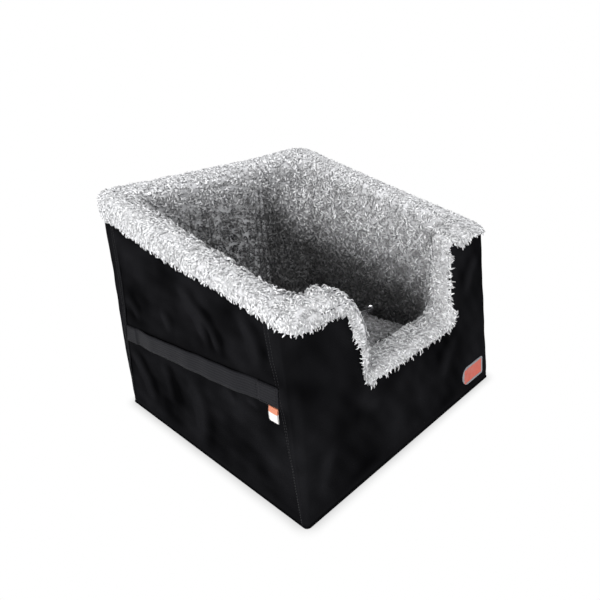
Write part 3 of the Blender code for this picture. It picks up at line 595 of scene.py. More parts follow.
def only(piece):
    """Select one piece and make it the active one."""
    bpy.ops.object.select_all(action="DESELECT")
    piece.select_set(True)
    bpy.context.view_layer.objects.active = piece


def apply_modifiers(piece):
    only(piece)
    for modifier in list(piece.modifiers):
        bpy.ops.object.modifier_apply(modifier=modifier.name)


def grid_faces(rows, columns, closed=False):
    """Quads of a grid; closed joins its last column to its first."""
    index = np.arange(rows * columns).reshape(rows, columns)
    after = np.roll(index, -1, axis=1)
    reach = columns if closed else columns - 1
    quads = np.stack([index[:-1, :reach], after[:-1, :reach], after[1:, :reach], index[1:, :reach]], axis=-1)
    return quads.reshape(-1, 4)


def capped_faces(rows, columns):
    """Faces of a stack of closed loops, with one face over each end."""
    index = np.arange(rows * columns).reshape(rows, columns)
    return [grid_faces(rows, columns, closed=True), index[:1, ::-1], index[-1:]]


def capped(name, loops):
    """A closed form through a stack of loops."""
    return mesh_of(name, loops.reshape(-1, 3), capped_faces(*loops.shape[:2]))


def tube_faces(count, rings, sides):
    """Faces of closed tubes whose points follow each other tube by tube and ring by ring."""
    index = np.arange(count * rings * sides).reshape(count, rings, sides)
    after = np.roll(index, -1, axis=2)
    quads = np.stack([index[:, :-1], after[:, :-1], after[:, 1:], index[:, 1:]], axis=-1).reshape(-1, 4)
    return [quads, np.concatenate([index[:, 0, ::-1], index[:, -1]])]


def turned_to(points, faces, quad, normal):
    """The faces as they are, or all turned over where one quad looks away from its normal."""
    a, b, c = points[quad[:3]]
    return [f[:, ::-1] for f in faces] if np.dot(np.cross(b - a, c - a), normal) < 0 else faces


def closed_sheet(top, under, normals):
    """Points and faces of a sheet between two grids; the normals point from the lower to the upper one."""
    rows, columns = top.shape[:2]
    size = rows * columns
    index = np.arange(size).reshape(rows, columns)
    sheet = grid_faces(rows, columns)
    edge = np.concatenate([index[0, :], index[1:, -1], index[-1, -2::-1], index[-2:0:-1, 0]])
    after = np.roll(edge, -1)
    faces = [sheet, (sheet + size)[:, ::-1], np.stack([edge, edge + size, after + size, after], axis=1)]
    points = np.concatenate([top.reshape(-1, 3), under.reshape(-1, 3)])
    middle = sheet[len(sheet) // 2]
    return points, turned_to(points, faces, middle, normals.reshape(-1, 3)[middle[0]])


def grid_normals(grid, away):
    """Normals of a grid, on the side that the given directions point to."""
    normals = unit(np.cross(np.gradient(grid, axis=0), np.gradient(grid, axis=1)))
    return -normals if (normals * away).sum() < 0 else normals


def unit(vectors):
    return vectors / np.maximum(np.linalg.norm(vectors, axis=-1, keepdims=True), 1e-9)


def ripple(points, size, seed):
    """Soft pseudo-random field in -1 to 1 from a few sine waves, the same each run."""
    rng = np.random.default_rng(seed)
    total = np.zeros(points.shape[:-1])
    for k in range(6):
        wave = rng.normal(size=3)
        wave *= 2 * math.pi / (size * (0.7 + 0.16 * k)) / np.linalg.norm(wave)
        total += np.sin(points @ wave + rng.uniform(0, 2 * math.pi))
    return total / 3.2


# Materials


def new_group(name, inputs, outputs=(("Color", "Color"), ("Height", "Float"), ("Roughness", "Float"))):
    """A group of nodes: its tree, the sockets that it starts from and those that it ends in."""
    tree = bpy.data.node_groups.new(name, "ShaderNodeTree")
    for label, value in inputs.items():
        kind = "NodeSocketColor" if isinstance(value, tuple) else "NodeSocketFloat"
        tree.interface.new_socket(label, in_out="INPUT", socket_type=kind).default_value = value
    for label, kind in outputs:
        tree.interface.new_socket(label, in_out="OUTPUT", socket_type="NodeSocket" + kind)
    return tree, tree.nodes.new("NodeGroupInput").outputs, tree.nodes.new("NodeGroupOutput").inputs


def ended(tree, end, **values):
    """The group's tree with its last sockets linked."""
    for label, value in values.items():
        tree.links.new(value, end[label])
    return tree


def add_node(tree, kind, inputs, **settings):
    """A shader node with its settings; each of its inputs named here is linked or gets a plain value."""
    node = tree.nodes.new("ShaderNode" + kind)
    for name, value in settings.items():
        setattr(node, name, value)
    for label, value in inputs.items():
        if isinstance(value, bpy.types.NodeSocket):
            tree.links.new(value, node.inputs[label])
        else:
            node.inputs[label].default_value = value
    return node


def math_node(tree, operation, *values, clamp=False):
    return add_node(tree, "Math", dict(enumerate(values)), operation=operation, use_clamp=clamp).outputs[0]


def mix_colour(tree, share, first, second, blend="MIX"):
    inputs = {0: share, 6: first, 7: second}
    return add_node(tree, "Mix", inputs, data_type="RGBA", blend_type=blend).outputs[2]


def times(tree, colour, factor):
    return mix_colour(tree, 1.0, colour, factor, "MULTIPLY")


def noise_node(tree, vector, scale, detail=2.0):
    return add_node(tree, "TexNoise", {"Vector": vector, "Scale": scale, "Detail": detail}).outputs["Fac"]


def remap(tree, value, low, high, new_low, new_high):
    inputs = dict(enumerate((value, low, high, new_low, new_high)))
    return add_node(tree, "MapRange", inputs).outputs[0]


def attribute_node(tree, name, output="Fac"):
    return add_node(tree, "Attribute", {}, attribute_name=name).outputs[output]


def object_place(tree):
    return add_node(tree, "TexCoord", {}).outputs["Object"]


def grey(value):
    return (value, value, value, 1.0)


def grey_node(tree, value):
    return add_node(tree, "CombineColor", {0: value, 1: value, 2: value}).outputs[0]


def pile_group():
    """Curly pile: dark at the root, pale at the tip, with painted shade low down inside the tub and between
    tufts.
    """
    tree, start, end = new_group(
        "curly_pile", {"Tips": grey(0.8), "Roots": grey(0.1), "Shade": 0.5},
        (("Color", "Color"), ("Height", "Float"), ("Normal", "Vector")))
    place = object_place(tree)
    rise = remap(tree, attribute_node(tree, "curl"), 0.02, 0.50, 0.0, 1.0)
    colour = mix_colour(tree, rise, start["Roots"], start["Tips"])
    # Random tone of the curls, with painted shade between tufts.
    tone_and_shade = remap(tree, attribute_node(tree, "tone_and_shade"), 0.0, 1.0, 0.36, 1.08)
    patch = remap(tree, noise_node(tree, place, 34.0, 3.0), 0.3, 0.7, 0.90, 1.04)
    colour = times(tree, times(tree, colour, grey_node(tree, tone_and_shade)), grey_node(tree, patch))
    # Painted shade: darker deep inside the tub and on the cushion, by the low attribute.
    low = math_node(tree, "MULTIPLY", attribute_node(tree, "low"), start["Shade"], clamp=True)
    colour = mix_colour(tree, low, colour, times(tree, colour, grey(0.10)))
    fibres = noise_node(tree, place, 700.0, 4.0)
    return ended(tree, end, Color=colour, Height=fibres, Normal=soft_normal(tree))


def soft_normal(tree):
    """The curls' own normals leaning to those of the tuft that they grow on."""
    own = add_node(tree, "NewGeometry", {}).outputs["Normal"]
    mix = add_node(tree, "Mix", {0: SOFTNESS, 4: own, 5: attribute_node(tree, "skin", "Vector")},
                   data_type="VECTOR")
    return add_node(tree, "VectorMath", {0: mix.outputs[1]}, operation="NORMALIZE").outputs[0]


def cloth_group():
    """Plain weave of an upright panel: threads along and across, with slubs, a faint bloom, and painted shade
    in the creases with painted highlight on their ridges.
    """
    tree, start, end = new_group("panel_weave", {"Colour": grey(0.02), "Threads": 1400.0, "Bloom": 0.3})
    place = object_place(tree)
    x, y, z = add_node(tree, "SeparateXYZ", {0: place}).outputs
    across = math_node(tree, "MULTIPLY", math_node(tree, "ADD", x, y), start["Threads"])
    up = math_node(tree, "MULTIPLY", z, start["Threads"])
    woven = math_node(tree, "MULTIPLY", math_node(tree, "SINE", across), math_node(tree, "SINE", up))
    slub = remap(tree, noise_node(tree, place, 420.0, 3.0), 0.3, 0.7, -0.5, 0.5)
    height = math_node(tree, "ADD", math_node(tree, "MULTIPLY", woven, 0.5), slub)
    cloud = remap(tree, noise_node(tree, place, 17.0, 4.0), 0.35, 0.7, 0.0, 1.0)
    # Painted shade in the creases' grooves and painted highlight on their ridges, from the fold heights.
    fold = remap(tree, attribute_node(tree, "fold"), -0.5, 0.5, 0.25, 1.35)
    fuzz = remap(tree, noise_node(tree, place, 900.0, 1.0), 0.58, 0.75, 0.0, 0.6)
    bloom = math_node(tree, "MULTIPLY", math_node(tree, "ADD", cloud, fuzz), start["Bloom"], clamp=True)
    colour = mix_colour(tree, bloom, start["Colour"], times(tree, start["Colour"], grey(2.2)))
    return ended(tree, end, Color=times(tree, colour, grey_node(tree, fold)), Height=height,
                 Roughness=remap(tree, woven, -1.0, 1.0, 0.62, 0.78))


def webbing_group():
    """Ribbed webbing: short slanted floats across its width, read from its own UV map."""
    tree, start, end = new_group("webbing_weave", {"Colour": grey(0.02)})
    uv = add_node(tree, "UVMap", {}, uv_map="UVMap").outputs[0]
    u, v, _ = add_node(tree, "SeparateXYZ", {0: uv}).outputs
    along = math_node(tree, "MULTIPLY", u, 2200.0)
    across = math_node(tree, "MULTIPLY", v, 1500.0)
    chevron = math_node(tree, "ABSOLUTE", math_node(tree, "SINE", math_node(tree, "MULTIPLY", across, 0.2)))
    slant = math_node(tree, "ADD", along, math_node(tree, "MULTIPLY", chevron, 5.0))
    ribs = math_node(tree, "MULTIPLY", math_node(tree, "SINE", slant), 0.5)
    cords = math_node(tree, "MULTIPLY", math_node(tree, "SINE", across), 0.6)
    height = math_node(tree, "ADD", ribs, cords)
    # Painted highlight: lighter on the ribs' tops.
    shine = remap(tree, height, -1.0, 1.0, 0.0, 0.8)
    colour = mix_colour(tree, shine, start["Colour"], times(tree, start["Colour"], grey(2.4)))
    return ended(tree, end, Color=colour, Height=height, Roughness=remap(tree, height, -1.0, 1.0, 0.70, 0.52))


def grain_group():
    """Fine grain for moulded, foamed and plated surfaces."""
    tree, start, end = new_group(
        "fine_grain",
        {"Colour": grey(0.5), "Size": 600.0, "Spread": 0.2, "Rough low": 0.4, "Rough high": 0.6})
    place = object_place(tree)
    fine = noise_node(tree, place, start["Size"], 3.0)
    share = math_node(tree, "MULTIPLY", fine, start["Spread"], clamp=True)
    colour = mix_colour(tree, share, start["Colour"], times(tree, start["Colour"], grey(0.6)))
    wide = noise_node(tree, place, 90.0)
    rough = remap(tree, wide, 0.3, 0.7, start["Rough low"], start["Rough high"])
    return ended(tree, end, Color=colour, Height=fine, Roughness=rough)


GROUPS = {}


def new_material(name):
    material = bpy.data.materials.new(name)
    material.use_nodes = True
    return material, material.node_tree, material.node_tree.nodes["Principled BSDF"].inputs


def shaded(name, maker, values, bump, reach, **sockets):
    """A material whose Principled shader reads one of the groups, with plain values on its own sockets."""
    if name in bpy.data.materials:
        return bpy.data.materials[name]
    if maker not in GROUPS:
        GROUPS[maker] = maker()
    material, tree, shader = new_material(name)
    pattern = tree.nodes.new("ShaderNodeGroup")
    pattern.node_tree = GROUPS[maker]
    for label, value in values.items():
        pattern.inputs[label].default_value = (*value, 1.0) if hasattr(value, "__len__") else value
    tree.links.new(pattern.outputs["Color"], shader["Base Color"])
    if "Roughness" in pattern.outputs:
        tree.links.new(pattern.outputs["Roughness"], shader["Roughness"])
    relief = add_node(
        tree, "Bump", {"Strength": bump, "Distance": reach, "Height": pattern.outputs["Height"]})
    if "Normal" in pattern.outputs:
        tree.links.new(pattern.outputs["Normal"], relief.inputs["Normal"])
    tree.links.new(relief.outputs[0], shader["Normal"])
    for label, value in sockets.items():
        shader[label.replace("_", " ")].default_value = value
    return material


def grained(name, colour, size, bump, reach=0.0001, spread=0.2, rough=(0.4, 0.6), **sockets):
    """A finely grained material; rough is the range of its roughness."""
    values = {"Colour": colour, "Size": size, "Spread": spread, "Rough low": rough[0], "Rough high": rough[1]}
    return shaded(name, grain_group, values, bump, reach, **sockets)


def fleece_material():
    values = {"Tips": fleece_looks().tip_colour, "Roots": fleece_looks().root_colour, "Shade": 0.98}
    return shaded("curly_fleece", pile_group, values, 0.5, 0.0006, Roughness=0.95, Sheen_Weight=0.2,
                  Sheen_Roughness=0.6, Specular_IOR_Level=0.05, Subsurface_Weight=0.5, Subsurface_Scale=0.004,
                  Subsurface_Radius=(1.0, 1.0, 1.0))


def cloth_material():
    return shaded("black_woven_cloth", cloth_group, {"Colour": looks().cloth_colour}, 0.35, 0.00025,
                  Specular_IOR_Level=0.0)


def webbing_material():
    colour = bpy.context.scene.seat_leash.webbing_colour
    return shaded("black_webbing_weave", webbing_group, {"Colour": colour}, 0.4, 0.0003,
                  Specular_IOR_Level=0.08)


def thread_material():
    return grained("black_thread", (0.008, 0.008, 0.009), 2400.0, 0.3, Specular_IOR_Level=0.1)


def chrome_material():
    colour = bpy.context.scene.seat_leash.chrome_colour
    return grained("plated_chrome", colour, 260.0, 0.02, spread=0.10, rough=(0.10, 0.20), Metallic=1.0)


# Fleece

# A lock is a closed tube of rings; the locks of a tuft lean away from the tuft's middle
CURL_RINGS = 4
CURL_SIDES = 3
CURL_POINTS = CURL_RINGS * CURL_SIDES
CURL_FLATNESS = 0.7
CURL_ROOT = 0.0012
CURL_WIDTH_SHARES = (0.75, 1.0, 0.92, 0.35)
WIDE_TUFT = 0.018
SMALL_TUFT = 0.010
SOFTNESS = 0.72
TUFT_ROUND = 1.3
TUFT_REACH = 0.58
DOME = 0.26
SHAKE = 0.42
OUTER_RISE = (25, 48)
OUTER_REST = (-60, -20)
FRINGE_STEP = 0.0013

# The cloth that the locks grow from, and the height up to which the cushion hides it
BACKING = 0.0025
BACKING_LUMPS = 0.0009
BACKING_CURL = 0.30
BACKING_TONE = 0.5
CUSHION_COVERS = 0.090
RIM_MIDDLE = 0.208
FINE_SHARE = 0.82
REAR_SHARE = 1.14


def surface_frame(grid):
    """Normals away from the wall and directions across it, for a grid of points."""
    return grid_normals(grid, grid - grid.mean(axis=1, keepdims=True)), unit(np.gradient(grid, axis=1))


def sunk(grid):
    """A grid drawn in by the pile's thickness, so that the curls' tips reach the grid itself."""
    normals, _ = surface_frame(grid)
    outside = smooth_share((np.linspace(0, 1, grid.shape[1]) - 0.78) / 0.1)
    depth = PILE + (OUTER_PILE - PILE) * outside
    fuller = 1 - 0.85 * smooth_share((grid[..., 0] - 0.08) / 0.12)
    return grid - normals * (depth[None, :] * fuller)[..., None]


def on_grid(values, u, v):
    """Values of a grid at fractional rows and columns."""
    i = np.clip(np.floor(u).astype(int), 0, values.shape[0] - 2)
    j = np.clip(np.floor(v).astype(int), 0, values.shape[1] - 2)
    s = (u - i)[:, None]
    t = (v - j)[:, None]
    near = values[i, j] * (1 - t) + values[i, j + 1] * t
    far = values[i + 1, j] * (1 - t) + values[i + 1, j + 1] * t
    return near * (1 - s) + far * s


def scatter(rng, grid, spacing):
    """Shaken places over a grid, evenly dense over its surface, as fractional rows and columns."""
    rows = np.linalg.norm(np.diff(grid, axis=0), axis=2).sum(axis=0).max()
    columns = np.linalg.norm(np.diff(grid, axis=1), axis=2).sum(axis=1).max()
    nu, nv = max(int(rows / spacing), 2), max(int(columns / spacing), 2)
    u, v = np.meshgrid(np.arange(nu) + 0.5, np.arange(nv) + 0.5, indexing="ij")
    u = u + rng.uniform(-SHAKE, SHAKE, u.shape)
    v = v + rng.uniform(-SHAKE, SHAKE, v.shape)
    u, v = (u / nu).ravel(), (v / nv).ravel()
    u, v = np.clip(u, 0, 1) * (grid.shape[0] - 1), np.clip(v, 0, 1) * (grid.shape[1] - 1)
    areas = np.linalg.norm(np.cross(np.gradient(grid, axis=0), np.gradient(grid, axis=1)), axis=2)
    local = on_grid(areas[:, :, None], u, v)[:, 0] * (grid.shape[0] - 1) * (grid.shape[1] - 1)
    keep = rng.uniform(size=len(u)) < local / (nu * nv * spacing * spacing)
    return u[keep], v[keep]


def turned(flows, normals, angles):
    side = np.cross(normals, flows)
    return flows * np.cos(angles)[:, None] + side * np.sin(angles)[:, None]


def curl_shapes(rng, bases, normals, flows, lengths, widths, rise, settle_angle):
    """Tapered, wavy locks: points, faces, and how far each point is along its lock."""
    count = len(bases)
    share = np.linspace(0, 1, CURL_RINGS)[None, :]
    bend = rng.uniform(0.3, 1.1, count)[:, None] * rng.choice([-1, 1], count)[:, None]
    phase = rng.uniform(0, 1.2, count)[:, None]
    heading = bend * np.sin(3.4 * share + phase)
    lift = rise[:, None] * (1 - share) + settle_angle[:, None] * share
    side = np.cross(normals, flows)
    turn = np.cos(heading)[..., None] * flows[:, None] + np.sin(heading)[..., None] * side[:, None]
    heads = np.cos(lift)[..., None] * turn + np.sin(lift)[..., None] * normals[:, None]
    steps = heads * (lengths / (CURL_RINGS - 1))[:, None, None]
    centres = bases[:, None] + np.cumsum(steps, axis=1) - steps
    wide = unit(np.cross(np.broadcast_to(normals[:, None], heads.shape), heads))
    thick = np.cross(heads, wide)
    angle = 2 * math.pi * np.arange(CURL_SIDES) / CURL_SIDES
    radius = widths[:, None] * np.array(CURL_WIDTH_SHARES)[None, :]
    across = radius[..., None] * np.cos(angle)[None, None]
    up = radius[..., None] * np.sin(angle)[None, None] * CURL_FLATNESS
    points = centres[:, :, None] + across[..., None] * wide[:, :, None] + up[..., None] * thick[:, :, None]
    curl = np.broadcast_to(share[..., None], (count, CURL_RINGS, CURL_SIDES))
    return points.reshape(-1, 3), tube_faces(count, CURL_RINGS, CURL_SIDES), curl.reshape(-1)


class Pile:
    """Gathers the curls and the backing of one fleece piece."""

    def __init__(self, seed):
        self.rng = np.random.default_rng(fleece_looks().seed + seed)
        self.points = []
        self.faces = []
        # Per point: curl share, random tone with painted shade between tufts, and painted shade deep in the
        # tub.
        self.values = {"curl": [], "tone_and_shade": [], "low": []}
        self.skin = []
        self.count = 0

    def add(self, points, faces, curl, tone_and_shade, low, skin):
        self.points.append(points)
        self.faces += [f + self.count for f in faces]
        self.count += len(points)
        self.skin.append(np.repeat(skin, len(points) // len(skin), axis=0))
        for key, value in (("curl", curl), ("tone_and_shade", tone_and_shade), ("low", low)):
            self.values[key].append(np.broadcast_to(value, (len(points),)))

    def backing(self, grid, low):
        """The lumpy cloth that the curls grow from, as a closed sheet."""
        normals, _ = surface_frame(grid)
        lumps = BACKING_LUMPS * np.maximum(ripple(grid, 0.013, 3), -0.3)[..., None]
        points, faces = closed_sheet(grid + normals * lumps, grid - normals * BACKING, normals)
        skin = np.tile(normals.reshape(-1, 3), (2, 1))
        # The backing's points take the painted shade given as low.
        self.add(points, faces, BACKING_CURL, BACKING_TONE, np.tile(low.ravel(), 2), skin)

    def grow(self, grid, style, spacing, tuft, keep=None):
        """Curls over a grid; style gives their heading, rise and length at each place."""
        rng = self.rng
        normals, flows = surface_frame(grid)
        u, v = scatter(rng, grid, spacing)
        bases = on_grid(grid, u, v)
        if keep is not None:
            chosen = keep(bases)
            u, v, bases = u[chosen], v[chosen], bases[chosen]
        if not len(bases):
            return
        normal = unit(on_grid(normals, u, v))
        flow = unit(on_grid(flows, u, v))
        spread, rise, rest, length, clump = style(v / (grid.shape[1] - 1), len(bases), rng)
        lean = ripple(bases, 0.02, 31) + 0.35 * rng.uniform(-1, 1, len(bases))
        flow = turned(flow, normal, lean * spread)
        around, out, lean = self.tufts(grid, bases, normal, tuft)
        flow = unit(flow * (1 - clump * out)[:, None] + around * (clump * out)[:, None])
        bases = bases + normal * (DOME * tuft * clump * (1 - out ** 2))[:, None]
        lengths = fleece_looks().curl_length * length * rng.uniform(0.8, 1.15, len(bases))
        widths = spacing * rng.uniform(0.29, 0.41, len(bases))
        points, faces, curl = curl_shapes(
            rng, bases - normal * CURL_ROOT, normal, flow, lengths, widths, rise, rest)
        # Painted shade towards each tuft's edge, darkest between tufts, over a random tone.
        shade = 0.85 - 0.90 * clump * out ** 3 + 0.30 * rng.uniform(-1, 1, len(bases))
        tone_and_shade = np.repeat(np.clip(shade, 0, 1), CURL_POINTS)
        low = np.repeat(painted_shade_inside(bases), CURL_POINTS)
        self.add(points, faces, curl, tone_and_shade, low, unit(normal + TUFT_ROUND * lean))

    def tufts(self, grid, bases, normals, size):
        """For each place its heading away from its tuft's middle, how far out it lies, and its lean."""
        u, v = scatter(self.rng, grid, size)
        middles = on_grid(grid, u, v)
        swirl = self.rng.uniform(-1.3, 1.3, len(middles))
        tree = KDTree(len(middles))
        for k, middle in enumerate(middles):
            tree.insert(middle, k)
        tree.balance()
        nearest = np.array([tree.find(base)[1] for base in bases])
        away = bases - middles[nearest]
        away = away - normals * (away * normals).sum(axis=1, keepdims=True)
        distance = np.linalg.norm(away, axis=1)
        heading = turned(away / np.maximum(distance, 1e-6)[:, None], normals, swirl[nearest])
        reach = TUFT_REACH * size
        return heading, np.clip(distance / reach, 0, 1), away / np.maximum(distance, reach)[:, None]

    def piece(self, name, body, node):
        mesh = mesh_of(name, np.concatenate(self.points), self.faces)
        for key, value in self.values.items():
            point_values(mesh, key, np.concatenate(value))
        point_vectors(mesh, "skin", np.concatenate(self.skin))
        return new_piece(name, mesh, fleece_material(), body, node)


def drawn_angles(rng, count, outside, inner_range, outer_range):
    """Random angles whose range goes over from an inner one to an outer one, both in degrees."""
    inner = np.radians(rng.uniform(*inner_range, count)) * (1 - outside)
    return inner + np.radians(rng.uniform(*outer_range, count)) * outside


def wall_style(share, count, rng):
    """Loose curls inside, ruffled ones on top, combed down outside; share is 0 inside and 1 outside."""
    outside = smooth_share((share - 0.72) / 0.16)
    spread = 3.1 * (1 - outside) + 1.2 * outside
    rise = drawn_angles(rng, count, outside, (55, 82), OUTER_RISE)
    rest = drawn_angles(rng, count, outside, (-75, -25), OUTER_REST)
    return spread, rise, rest, 0.82 - 0.24 * outside, 1.0 - 0.55 * smooth_share((share - 0.62) / 0.12)


def flat_style(share, count, rng):
    spread = np.full(count, 3.1)
    rise = np.radians(rng.uniform(55, 80, count))
    rest = np.radians(rng.uniform(-70, -25, count))
    return spread, rise, rest, np.full(count, 0.85), np.full(count, 0.85)


def band_style(share, count, rng):
    """The notch's band: loose on the cabin side, combed forward and down outside."""
    outside = smooth_share((share - 0.45) / 0.3)
    spread = 2.6 * (1 - outside) + 1.2 * outside
    rise = drawn_angles(rng, count, outside, (52, 78), OUTER_RISE)
    rest = drawn_angles(rng, count, outside, (-70, -25), OUTER_REST)
    return spread, rise, rest, 0.85 - 0.20 * outside, np.full(count, 0.65)


def painted_shade_inside(points):
    """Painted shade deep inside the tub: 0 near the rim and 1 near the floor; 0 on the outside."""
    x, y, z = np.moveaxis(points, -1, 0)
    inside = (np.abs(x) < CABIN_HALF + PILE) & (y > CABIN_FRONT - PILE) & (y < CABIN_REAR + PILE)
    # The painted shade starts lower on the right wall and higher towards the rear.
    right = smooth_share((x - 0.08) / 0.1)
    start = rim_height(y) - 0.004 - 0.075 * right
    start += 0.022 * smooth_share((y - 0.15) / 0.05) * (1 - right)
    return np.where(inside, smooth_share((start - z) / 0.13), 0.0)


def over_rim(points):
    """Places on the rim's outer half and outside."""
    x, y = points[:, 0], points[:, 1]
    return (np.abs(x) >= RIM_MIDDLE) | (y >= RIM_MIDDLE) | (y <= 0.02 - RIM_MIDDLE)


def above_cushion(points):
    return points[:, 2] > CUSHION_COVERS


def overlap_fringe(pile, grid):
    """Longer locks along the overlap's edge, so that it ends unevenly over the cloth."""
    rng = pile.rng
    normals, flows = surface_frame(grid)
    length = np.linalg.norm(np.diff(grid[:, -1], axis=0), axis=1).sum()
    count = int(length / FRINGE_STEP)
    u = np.sort(rng.uniform(0, grid.shape[0] - 1, count))
    v = (grid.shape[1] - 1) * (1 - rng.uniform(0.0, 0.035, count))
    bases = on_grid(grid, u, v)
    normal, flow = unit(on_grid(normals, u, v)), unit(on_grid(flows, u, v))
    flow = turned(flow, normal, rng.uniform(-0.6, 0.6, count))
    lengths = rng.uniform(0.0036, 0.0056, count) * (1 + 0.45 * ripple(bases, 0.011, 53))
    points, faces, curl = curl_shapes(
        rng, bases - flow * 0.003, normal, flow, lengths, rng.uniform(0.0010, 0.0016, count),
        np.radians(rng.uniform(10, 45, count)), np.radians(rng.uniform(-60, -20, count)))
    tone_and_shade = np.repeat(rng.uniform(0.2, 1, count), CURL_POINTS)
    pile.add(points, faces, np.maximum(curl, 0.35), tone_and_shade, 0.0, normal)


def side_fleece(wall):
    pile = Pile(wall)
    grid = sunk(wall_grid(wall))
    pile.backing(grid, painted_shade_inside(grid))
    spacing = fleece_looks().curl_spacing * (REAR_SHARE if wall == REAR else 1)
    pile.grow(grid, wall_style, spacing, WIDE_TUFT, lambda p: above_cushion(p) & ~over_rim(p))
    pile.grow(grid, wall_style, FINE_SHARE * spacing, SMALL_TUFT, over_rim)
    overlap_fringe(pile, grid)
    name = WALL_NAMES[wall]
    pile.piece(name + "_fleece", "tub", name + "_liner")


def front_fleece():
    spacing = fleece_looks().curl_spacing
    band = sunk(notch_band())
    pile = Pile(11)
    pile.backing(band, np.zeros(band.shape[:2]))
    pile.grow(band, band_style, FINE_SHARE * spacing, SMALL_TUFT)
    overlap_fringe(pile, band)
    face = sunk(cabin_front_face())
    pile.backing(face, painted_shade_inside(face))
    pile.grow(face, flat_style, spacing, WIDE_TUFT, above_cushion)
    pile.piece("front_fleece", "tub", "front_liner")
    for side, name in ((-1, "front_left_fleece"), (1, "front_right_fleece")):
        pile = Pile(20 + side)
        grid = sunk(post_grid(side))
        pile.backing(grid, painted_shade_inside(grid))
        pile.grow(grid, wall_style, FINE_SHARE * spacing, SMALL_TUFT, above_cushion)
        overlap_fringe(pile, grid)
        pile.piece(name, "tub", name.replace("fleece", "liner"))


class SEAT_OT_fleece(bpy.types.Operator):
    """Cover the four walls in curly fleece, rolled over the rim and the notch"""
    bl_idname = "seat.fleece"
    bl_label = "Fleece Walls"

    def execute(self, context):
        for wall in (RIGHT, REAR, LEFT):
            side_fleece(wall)
        front_fleece()
        return {"FINISHED"}


# Cloth covers

SEAM_TOP = 0.030
SEAM_FOOT = 0.004
CLOTH_STEP = 0.0032

# Thickness and edges of the panels, and the beads of their topstitch
CLOTH = 0.0009
PANEL_FOOT = 0.0012
UNDER_FLEECE = 0.004
WRAPPED = 9
WRAP_STEP = 0.0007
BELT_POCKET = 0.0027
STITCH = 0.00062
STITCH_SIDES = 5
STITCH_PROFILE = ((0.0, 0.35), (0.25, 1.0), (0.75, 1.0), (1.0, 0.35))
STITCHED_COLUMNS = (1, 3, -2, -4)

# Creases of each panel, guessed for the right and the rear: start and end (across, up), strength, width
LEFT_CREASES = (
    ((0.026, 0.307), (-0.048, 0.201), 1.0, 0.010),
    ((-0.010, 0.284), (-0.078, 0.202), 0.8, 0.008),
    ((-0.116, 0.304), (-0.162, 0.211), 0.7, 0.010),
    ((-0.190, 0.288), (-0.213, 0.238), 0.5, 0.007),
    ((0.205, 0.237), (0.153, 0.193), 0.6, 0.010),
    ((0.085, 0.247), (0.059, 0.200), 0.5, 0.009),
    ((0.222, 0.134), (0.150, 0.019), 1.0, 0.012),
    ((0.109, 0.153), (0.093, 0.053), 0.5, 0.012),
    ((0.021, 0.154), (0.008, 0.005), 0.7, 0.014),
    ((-0.068, 0.164), (-0.104, 0.140), 0.6, 0.006),
    ((-0.126, 0.164), (-0.157, 0.157), 0.5, 0.006),
)
RIGHT_CREASES = (
    ((0.060, 0.318), (-0.020, 0.208), 0.9, 0.011),
    ((-0.070, 0.296), (-0.128, 0.205), 0.7, 0.009),
    ((0.180, 0.262), (0.128, 0.190), 0.6, 0.010),
    ((0.190, 0.130), (0.120, 0.024), 0.9, 0.013),
    ((-0.020, 0.150), (-0.052, 0.030), 0.7, 0.012),
    ((-0.130, 0.158), (-0.176, 0.120), 0.6, 0.008),
)
FRONT_CREASES = (
    ((-0.128, 0.154), (-0.071, 0.111), 0.45, 0.012),
    ((-0.236, 0.270), (-0.170, 0.196), 0.4, 0.014),
    ((0.224, 0.272), (0.171, 0.194), 0.6, 0.012),
    ((0.154, 0.142), (0.092, 0.060), 0.45, 0.014),
    ((0.020, 0.146), (0.050, 0.030), 0.35, 0.016),
    ((-0.180, 0.110), (-0.214, 0.018), 0.4, 0.012),
)
REAR_CREASES = (
    ((-0.120, 0.340), (-0.060, 0.180), 0.6, 0.013),
    ((0.060, 0.330), (0.126, 0.210), 0.5, 0.012),
    ((0.000, 0.200), (-0.040, 0.050), 0.5, 0.015),
    ((0.160, 0.150), (0.196, 0.030), 0.6, 0.012),
)


def fold_height(across, up, creases):
    """Height of the creases at places on a panel, as a share of the deepest one."""
    total = np.zeros(np.broadcast(across, up).shape)
    for start, end, strength, width in creases:
        run = np.array(end) - np.array(start)
        length = np.hypot(*run)
        share = ((across - start[0]) * run[0] + (up - start[1]) * run[1]) / length ** 2
        away = ((across - start[0]) * run[1] - (up - start[1]) * run[0]) / length
        away = away - 0.10 * length * np.sin(math.pi * np.clip(share, 0, 1))
        taper = smooth_share(share / 0.35) * smooth_share((1 - share) / 0.35)
        fold = np.exp(-(away / width) ** 2) - 0.6 * np.exp(-((away - 1.8 * width) / (1.3 * width)) ** 2)
        total = total + strength * taper * fold
    return total


def seam_distance(z):
    """How far behind a corner the wrapped panel's seam runs, from the foot to the top."""
    return SEAM_FOOT + (SEAM_TOP - SEAM_FOOT) * smooth_share(z / 0.30)


def side_column(side, share, z, under=0.0):
    """A place on a side panel: share 0 at the front seam and 1 at the rear one."""
    ring = outer_ring(z, 0)
    seam = seam_distance(z) - under
    front = ring.front + ring.radius + seam
    rear = ring.rear - ring.radius - seam
    return (side * ring.half, front + (rear - front) * share, z)


def rows_to(top_at, place, count):
    """A column of places from the foot to its top, where the top depends on the place."""
    top = FRONT_RIM
    for _ in range(SETTLE_ROUNDS):
        top = top_at(place(top))
    return [place(z) for z in np.linspace(PANEL_FOOT, top, count)]


def cover_top(point):
    return rim_height(point[1]) - min(PANEL_DEPTH, overlap_depth(point[0], point[1]) - UNDER_FLEECE)


